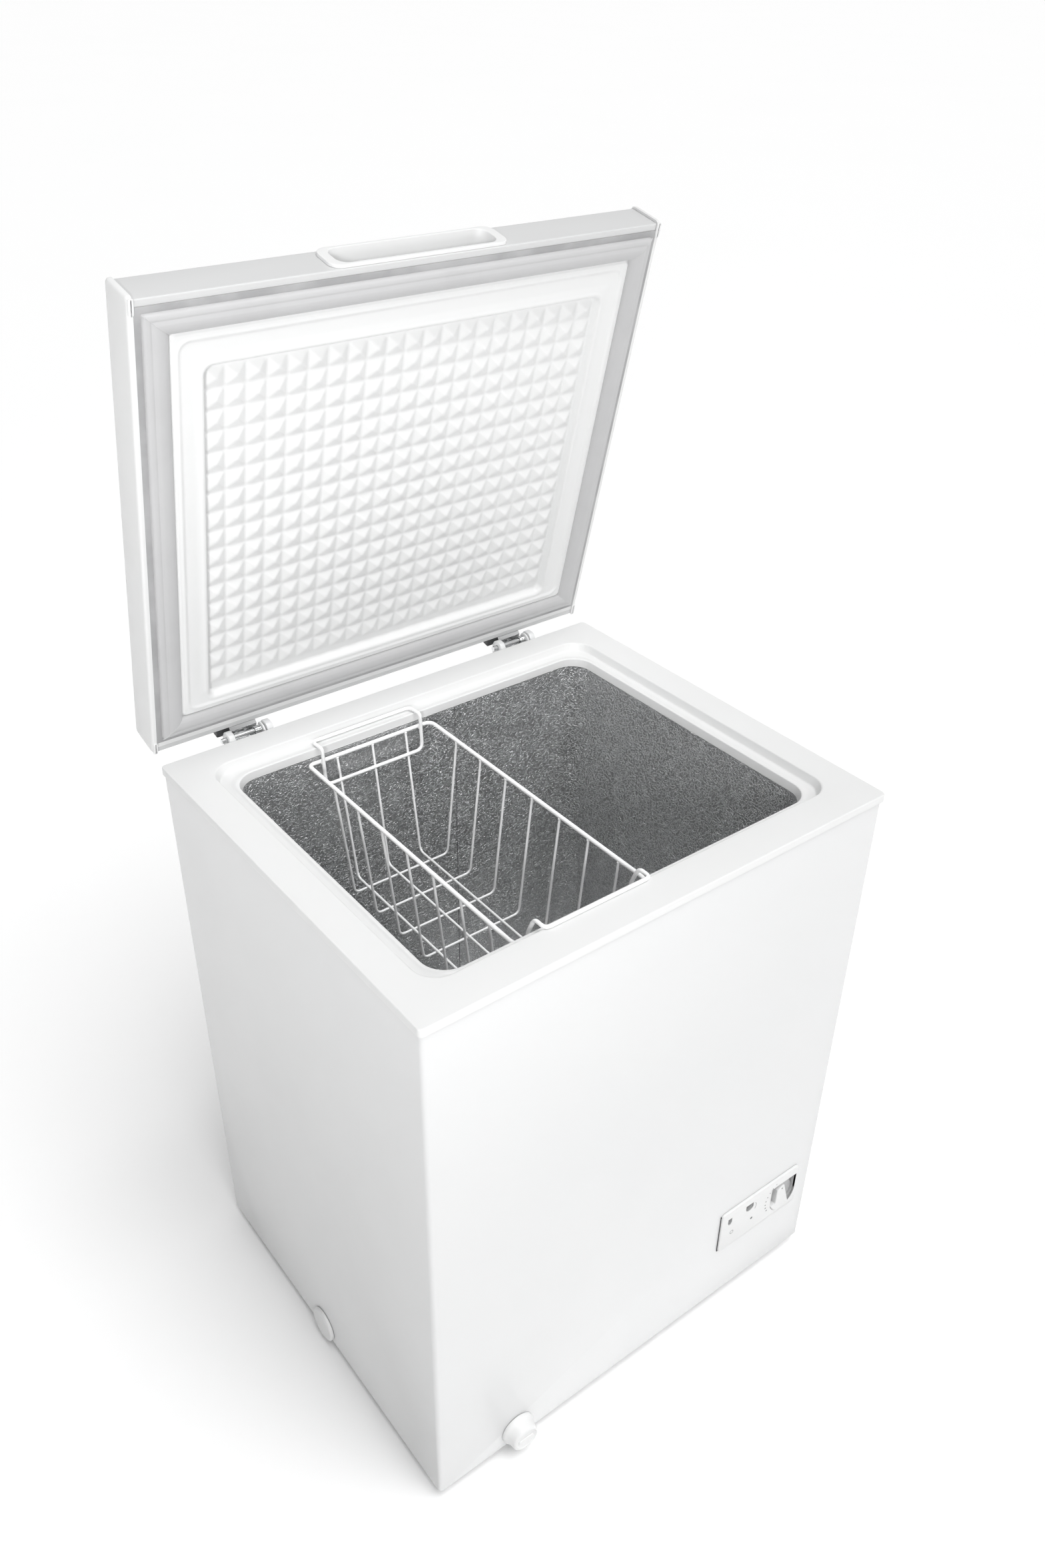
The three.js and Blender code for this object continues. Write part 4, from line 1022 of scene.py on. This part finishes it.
def lid_pads():
    """The lid's formed liner: a frame, a bead, and a sunk field of small square cushions."""
    edge_x = GASKET["x"] - GASKET["side_width"] - 0.3
    edge_front = GASKET["front"] + GASKET["width"] + 0.3
    edge_back = GASKET["back"] - GASKET["width"] - 0.3
    pads, field = PADS, FIELD
    per_pad, fine = 12, 1.3

    def lines(outer, low, first, last, high, beyond, count):
        middle = np.linspace(first, last, count * per_pad + 1)
        before = np.linspace(low, first, round((first - low) / fine) + 1)[:-1]
        after = np.linspace(last, high, round((high - last) / fine) + 1)[1:]
        ends = [outer, outer / 2 + low / 2], [high / 2 + beyond / 2, beyond]
        return np.concatenate([ends[0], before, middle, after, ends[1]])

    side = LID["x"] - LID["cap"] - 0.3
    seam_front, seam_back = LID["front"] + LID["lip"], LID["back"] - LID["lip"]
    xs = lines(-side, -edge_x, pads["left"], pads["right"], edge_x, side, pads["columns"])
    ys = lines(seam_front, edge_front, pads["front"], pads["back"], edge_back, seam_back, pads["rows"])
    gx, gy = np.meshgrid(xs, ys)

    def inside(x0, x1, y0, y1, r):
        """How far each point lies inside a rounded rectangle."""
        qx = np.abs(gx - (x0 + x1) / 2) - (x1 - x0) / 2 + r
        qy = np.abs(gy - (y0 + y1) / 2) - (y1 - y0) / 2 + r
        return r - np.minimum(np.maximum(qx, qy), 0) - np.hypot(np.maximum(qx, 0), np.maximum(qy, 0))

    def ease(t):
        t = np.clip(t, 0, 1)
        return t * t * (3 - 2 * t)

    z = np.full(gx.shape, float(field["frame"]))
    rim = inside(-edge_x, edge_x, edge_front, edge_back, 6)
    z += (LID["under"] - field["frame"]) * (1 - ease((rim + 1.0) / 2.6))
    bead = inside(-269.5, 269.5, edge_front + 7, edge_back - 7, 14)
    z -= 0.9 * np.exp(-(bead / 1.5) ** 2)
    z += 0.8 * ease((bead - 1) / 3) * (1 - ease((bead - 15) / 8))
    well = inside(-field["x"], field["x"], field["front"], field["back"], field["corner"])
    z -= 0.7 * np.exp(-((well + 3.0) / 2.0) ** 2)
    z += (field["roof"] - field["frame"]) * ease((well + 0.6) / 4.4)
    within = (gx > pads["left"]) & (gx < pads["right"]) & (gy > pads["front"]) & (gy < pads["back"])
    pitch_x = (pads["right"] - pads["left"]) / pads["columns"]
    pitch_y = (pads["back"] - pads["front"]) / pads["rows"]
    u = np.abs(((gx - pads["left"]) / pitch_x) % 1 - 0.5) * 2
    v = np.abs(((gy - pads["front"]) / pitch_y) % 1 - 0.5) * 2
    valley = 0.92 - np.sqrt((np.maximum(u, v) * 0.92) ** 2 + 0.012)
    soft = 0.5 * (valley + np.sqrt(valley ** 2 + 0.0006))
    z -= np.where(within, pads["rise"] * soft / 0.82, 0)
    verts = np.stack([gx, gy, z], -1).reshape(-1, 3)
    faces = grid_faces(len(ys), len(xs))
    piece = raw_object("lid_inner_sheet", (verts.tolist(), faces))
    if piece.data.polygons[len(faces) // 2].normal.z > 0:
        piece.data.flip_normals()
    thickened(piece, 1.2)
    return settle(piece, "lid", "white_plastic", "lid_liner", finish="lid_sheet", sharp=80)


def lid_gasket():
    """A soft extrusion, mitred and welded at its corners, on a thin root beside the lid's lip that is painted
    darker as the gap's shade.
    """
    g = GASKET
    profile = [(4.0, 0.2), (4.1, 3.0), (4.9, 5.0), (6.4, 6.2), (9.2, 6.9), (10.4, 6.6), (11.4, 6.9),
               (14.5, 7.9), (18.0, 7.9), (21.6, 7.0), (24.6, 5.0), (26.2, 2.8), (27, 0.3)]
    line = soften(profile, 1.2, 3)

    def around(off, up):
        x = g["x"] - off * g["side_width"] / g["width"]
        corner = max(2.0 - off * 0.15, 0.05)
        return ring(-x, x, g["front"] + off, g["back"] - off, corner, LID["under"] - up, 2)

    piece = raw_object("gasket_extrusion", loft([around(off, up) for off, up in line], closed=True))
    welds = [weld_bead(sx, y, sy, line) for sx in (-1, 1) for y, sy in ((g["front"], -1), (g["back"], 1))]
    joined(piece, raw_object("welds", together(*welds)))
    settle(piece, "lid", "gasket_rubber", "lid_gasket", sharp=50)
    root = [(-2.6, 0.1), (-2.6, 0.9), (-0.6, 1.1), (4.4, 0.9), (4.4, 0.1)]
    strip = raw_object("gasket_root_painted_shade", loft([around(off, up) for off, up in root], closed=True))
    return settle(strip, "lid", "gasket_rubber", finish="gasket_root_painted_shade")


def weld_bead(sx, y, sy, line):
    """The flash of a corner weld: a thin ridge along the mitre."""
    rows = []
    for off, up in line:
        if not 4.4 <= off <= 26.4:
            continue
        sway = 0.5 * math.sin(off * 0.42)
        cx, cy = sx * (GASKET["x"] - off * GASKET["side_width"] / GASKET["width"]), y - sy * off
        tip = LID["under"] - up
        more, less = 0.55 + sway, 0.55 - sway
        rows.append([(cx + sx * more, cy - sy * less, tip + 0.5), (cx + sx * sway, cy + sy * sway, tip - 0.3),
                     (cx - sx * less, cy + sy * more, tip + 0.5)])
    return loft(rows, first=True, last=True)


def lid_handle():
    """A bezel that stands proud of the lid's front, round a deep grip pocket with rounded ends."""
    face = LID["front"] - 0.3
    low, high = LID["under"] + 1.5, LID["top"] - 1.5
    px, p_low, p_high = HANDLE["pocket_x"], HANDLE["low"], HANDLE["high"]
    x, proud, depth = HANDLE["x"], HANDLE["proud"], HANDLE["depth"]
    rows = [
        ((x, low, high, 12, 0), 0),
        ((x - 0.4, low + 0.4, high - 0.4, 11.6, proud), 0.9),
        ((px + 1.0, p_low - 0.8, p_high + 0.8, 12, proud), 1.0),
        ((px - 0.6, p_low + 0.4, p_high - 0.4, 11.5, -4), 2),
        ((px - 2.5, p_low + 1.2, p_high - 1.2, 10.5, -depth + 2.4), 2.5),
        ((px - 12, p_low + 9, p_high - 9, 4, -depth + 2), 0),
    ]
    line = soften([row for row, _ in rows], [fillet for _, fillet in rows], 6)
    rings = [ring(-half, half, v0, v1, min(r, (v1 - v0) / 2 - 0.05), w, 12)
             for half, v0, v1, r, w in line]
    inside = loft(rings, last=True)
    back_rows = [(x, low, high, 12, 0), (px + 1.3, p_low - 1.4, p_high + 1.4, 12, -0.2),
                 (px + 1.2, p_low - 1.3, p_high + 1.3, 12, -depth)]
    back = loft([ring(-half, half, v0, v1, r, w, 12) for half, v0, v1, r, w in back_rows], last=True)
    piece = raw_object("grip_bezel", moved(along_y(together(inside, back)), 0, face, 0))
    return settle(piece, "lid", "white_plastic", "lid_handle", sharp=55)


# ---------------------------------------------------------------- basket
BASKET = {
    "left": -160, "right": 14, "front": -203, "back": 203, "top": 757, "foot": 594, "foot_left": -142,
    "foot_right": -4, "foot_front": -170, "foot_back": 167, "wire": 1.5, "frame": 2.5, "bend": 8,
}
CROSS_Y = [145 - 50.5 * k for k in range(7)]
LONG_TOP_X = (-121.5, -72, -24)
LONG_FOOT_X = (-124, -79, -31)
# the back hook's bar lies in the rim's groove at the seat's height, the front hook's on the flange
HOOK = {"low": 727, "high": 776.2, "seat": 774.6, "rest": 784.5, "wire": 2.2}
HOOK_SPAN = {"back": (-143, -4.5, 222), "front": (-141, -4.5, -225.5)}      # left, right, where its bar lies


def round_line(corners, radii, closed=False, steps=7):
    """soften() for lines in space, where every direction counts."""
    points = [Vector(c) for c in corners]
    if isinstance(radii, (int, float)):
        radii = [radii] * len(points)
    line = []
    count = len(points)
    for i, (here, radius) in enumerate(zip(points, radii)):
        if not closed and i in (0, count - 1):
            line.append(here)
            continue
        before, after = points[i - 1], points[(i + 1) % count]
        start = here.lerp(before, min(radius / (before - here).length, 0.48))
        end = here.lerp(after, min(radius / (after - here).length, 0.48))
        for k in range(steps + 1):
            t = k / steps
            line.append(start.lerp(here, t).lerp(here.lerp(end, t), t))
    return line


def basket():
    """A thick rim wire, a cage of thinner wires that are welded where they cross, and two hooks."""
    b = BASKET
    top, frame_r, wire = b["top"], b["frame"], b["wire"]
    plan = [(b["left"], b["front"], top), (b["right"], b["front"], top), (b["right"], b["back"], top),
            (b["left"], b["back"], top)]
    edge = round_line(plan, [10, 10, 11, 8], closed=True)
    rim = wires("basket_rim_wire", [(edge, True)], frame_r, 16)
    settle(rim, "basket", "basket_coating", "basket_frame", sharp=70)

    high = top - frame_r * 0.6
    lines, lumps = [], []
    for y in CROSS_Y:
        line = [(b["left"] + 0.8, y, high), (b["foot_left"], y, b["foot"]), (b["foot_right"], y, b["foot"]),
                (b["right"] - 0.8, y, high)]
        lines.append((round_line(line, b["bend"]), False))
        lumps += [((side, y, top - frame_r), (2.0, 2.2, 2.0)) for side in (b["left"] + 1, b["right"] - 1)]
    upper = b["foot"] + wire * 1.7
    for x_top, x_foot in zip(LONG_TOP_X, LONG_FOOT_X):
        line = [(x_top, b["back"] - 0.8, high), (x_foot, b["foot_back"], upper),
                (x_foot, b["foot_front"], upper), (x_top, b["front"] + 0.8, high)]
        lines.append((round_line(line, b["bend"]), False))
        lumps += [((x_foot, y, b["foot"] + wire * 0.85), (1.7, 1.7, 1.5)) for y in CROSS_Y[:-1]]
        lumps += [((x_top, y, top - frame_r), (2.2, 2.0, 2.0)) for y in (b["back"] - 1, b["front"] + 1)]
    cage = wires("basket_wires", lines, wire, 12, lumps)
    settle(cage, "basket", "basket_coating", "basket_cage", sharp=70)

    for name, end in (("back", 1), ("front", -1)):
        hook_loop(name, end)


def hook_loop(name, end):
    """A closed loop: a low bar inside the basket, uprights past its rim, and a bar over the mouth's edge."""
    h, b = HOOK, BASKET
    past = b["frame"] + h["wire"] + 0.3
    near = b["back"] - past if end > 0 else b["front"] + past
    left, right, seat = HOOK_SPAN[name]
    if end > 0:
        side, radii = [(near - 3, h["low"]), (near, h["high"]), (seat, h["seat"])], [10, 4.5, 8]
    else:
        side = [(near + 3, h["low"]), (near, 760.5), (near - 5.2, 774), (-209, h["rest"]), (seat, h["rest"])]
        radii = [10, 5, 5, 5, 7]
    corners = [(left, y, z) for y, z in side] + [(right, y, z) for y, z in reversed(side)]
    loop = round_line(corners, radii + radii[::-1], closed=True)
    lumps = [((x, near + end * 1.6, b["top"]), (2.4, 2.6, 3.2)) for x in (left, right)]
    piece = wires(f"basket_hook_{name}_loop", [(loop, True)], h["wire"], 14, lumps)
    settle(piece, "basket", "basket_coating", f"basket_hook_{name}", sharp=70)


# ---------------------------------------------------------------- compressor
def compressor_dome():
    """The pressed steel can: a lower cup, a rolled welded seam and a domed lid."""
    low, high = drawn_box("compressor_shell")
    x, y, r = (low.x + high.x) / 2, (low.y + high.y) / 2, (high.x - low.x) / 2
    h = high.z - low.z
    profile = [(0, 0), (r * 0.78, 0), (r * 0.95, 14), (r * 0.96, h * 0.52), (r, h * 0.53), (r, h * 0.57),
               (r * 0.955, h * 0.58), (r * 0.93, h * 0.76), (r * 0.6, h * 0.97), (0, h)]
    line = soften(profile, [0, 6, 10, 0.5, 1, 1, 0.5, 18, 20, 0], 6)
    piece = raw_object("compressor_can", moved(lathe(line, 64), x, y, low.z))
    return settle(piece, "cabinet", "black_paint", "compressor_shell")


# ---------------------------------------------------------------- everything else keeps its CAD shape
def dress_frame_nodes():
    """Every piece that isn't drawn above gets its slot's material."""
    for name, node in frame["nodes"].items():
        node.data.materials.clear()
        node.data.materials.append(FINISH[SLOT_OF[name]])


# ---------------------------------------------------------------- studio
SURROUND = (0.14, 0.76)     # how bright the surroundings are, from the left to the right
SUN = {"strength": 1.98, "spread": 40, "from": (0.04, -0.37, 0.93)}
KEY = {"place": (-1.2, -2.3, 1.5), "size": (1.2, 1.0), "power": 14}
LID_LIGHT = {"place": (-1.9, -1.9, 1.75), "size": (0.3, 0.3), "power": 1.25, "spread": 34}
CAMERA = {"place": (-0.75628, -0.99988, 1.59453), "azimuth": -37.89, "elevation": 33.52, "roll": 0.81,
          "lens": 29.87}


def look_from(place, azimuth, elevation, roll, lens):
    """A camera that looks along azimuth, where 0 is along +Y, and down by elevation, rolled by roll. All
    three are in degrees, and lens is in millimetres on a 36 mm sensor."""
    a, e, r = (math.radians(v) for v in (azimuth, elevation, roll))
    back = Vector((math.sin(a) * math.cos(e), -math.cos(a) * math.cos(e), math.sin(e)))
    right = Vector((0, 0, 1)).cross(back).normalized()
    up = back.cross(right)
    turned_right = math.cos(r) * right + math.sin(r) * up
    turned_up = -math.sin(r) * right + math.cos(r) * up
    data = bpy.data.cameras.new("camera")
    data.lens = lens
    data.clip_start = 0.05
    data.clip_end = 400
    camera = bpy.data.objects.new("camera", data)
    camera.matrix_world = Matrix((turned_right, turned_up, back)).transposed().to_4x4()
    camera.location = place
    SCENE.collection.objects.link(camera)
    SCENE.camera = camera


def soft_light(name, target, place, size, power, spread=180):
    """An area light at a place, turned to its target, that lights a cone of spread degrees."""
    data = bpy.data.lights.new(name, "AREA")
    data.shape = "RECTANGLE"
    data.spread = math.radians(spread)
    data.size, data.size_y = size
    data.energy = power
    light = bpy.data.objects.new(name, data)
    light.location = place
    light.rotation_euler = (Vector(target) - Vector(place)).to_track_quat("-Z", "Y").to_euler()
    SCENE.collection.objects.link(light)


def studio():
    """A pale floor without an end, white surroundings that are darker on the left, a broad sun from high in
    front, a large soft key light beside the camera and a small light for the lid's inside."""
    bpy.ops.mesh.primitive_plane_add(size=600, location=(0, 0, -0.0005))
    floor = bpy.context.object
    floor.name = "studio_floor"
    f = Finish("studio_floor", (0.97, 0.97, 0.97), 0.9, Specular_IOR_Level=0.1)
    f.tint(f.spread(f.noise(1500, 3), 0.4, 0.7, 0, 0.3), (0.96, 0.96, 0.96))
    floor.data.materials.append(f.bump(f.noise(3, 2), 0.05).material)
    world = bpy.data.worlds.new("studio")
    world.use_nodes = True
    nodes, links = world.node_tree.nodes, world.node_tree.links
    direction = nodes.new("ShaderNodeSeparateXYZ")
    links.new(nodes.new("ShaderNodeTexCoord").outputs["Generated"], direction.inputs[0])
    across = nodes.new("ShaderNodeMapRange")
    for socket, number in zip(MAP_SOCKETS, (-1, 1, *SURROUND)):
        across.inputs[socket].default_value = number
    links.new(direction.outputs["X"], across.inputs["Value"])
    links.new(across.outputs["Result"], nodes["Background"].inputs["Strength"])
    nodes["Background"].inputs["Color"].default_value = (1, 1, 1, 1)
    SCENE.world = world
    sun = bpy.data.objects.new("sun", bpy.data.lights.new("sun", "SUN"))
    sun.data.energy = SUN["strength"]
    sun.data.angle = math.radians(SUN["spread"])
    sun.rotation_euler = Vector(SUN["from"]).to_track_quat("Z", "Y").to_euler()
    SCENE.collection.objects.link(sun)
    soft_light("key", (0, 0.1, 0.75), **KEY)
    soft_light("lid_light", (0, 0.25, 1.1), **LID_LIGHT)
    SCENE.view_settings.view_transform = "Standard"
    SCENE.view_settings.look = "None"
    SCENE.view_settings.exposure = 0.0


look_from(**CAMERA)
studio()
dress_frame_nodes()
cabinet_shell()
rim_moulding()
finished_tub()
tub_seam()
back_sheet()
rear_grille()
feet()
side_plug()
drain_cap()
drain_plug()
control_panel()
panel_lenses()
panel_marks()
thermostat_knob()
for number, hinge_x in enumerate(HINGE_X, 1):
    hinge_bracket(number, hinge_x)
    hinge_leaf(number, hinge_x)
    hinge_spring(number, hinge_x)
    hinge_cover(number, hinge_x)
rear_screws()
lid_skin()
lid_end_cap("left", -1)
lid_end_cap("right", 1)
lid_pads()
lid_gasket()
lid_handle()
basket()
compressor_dome()
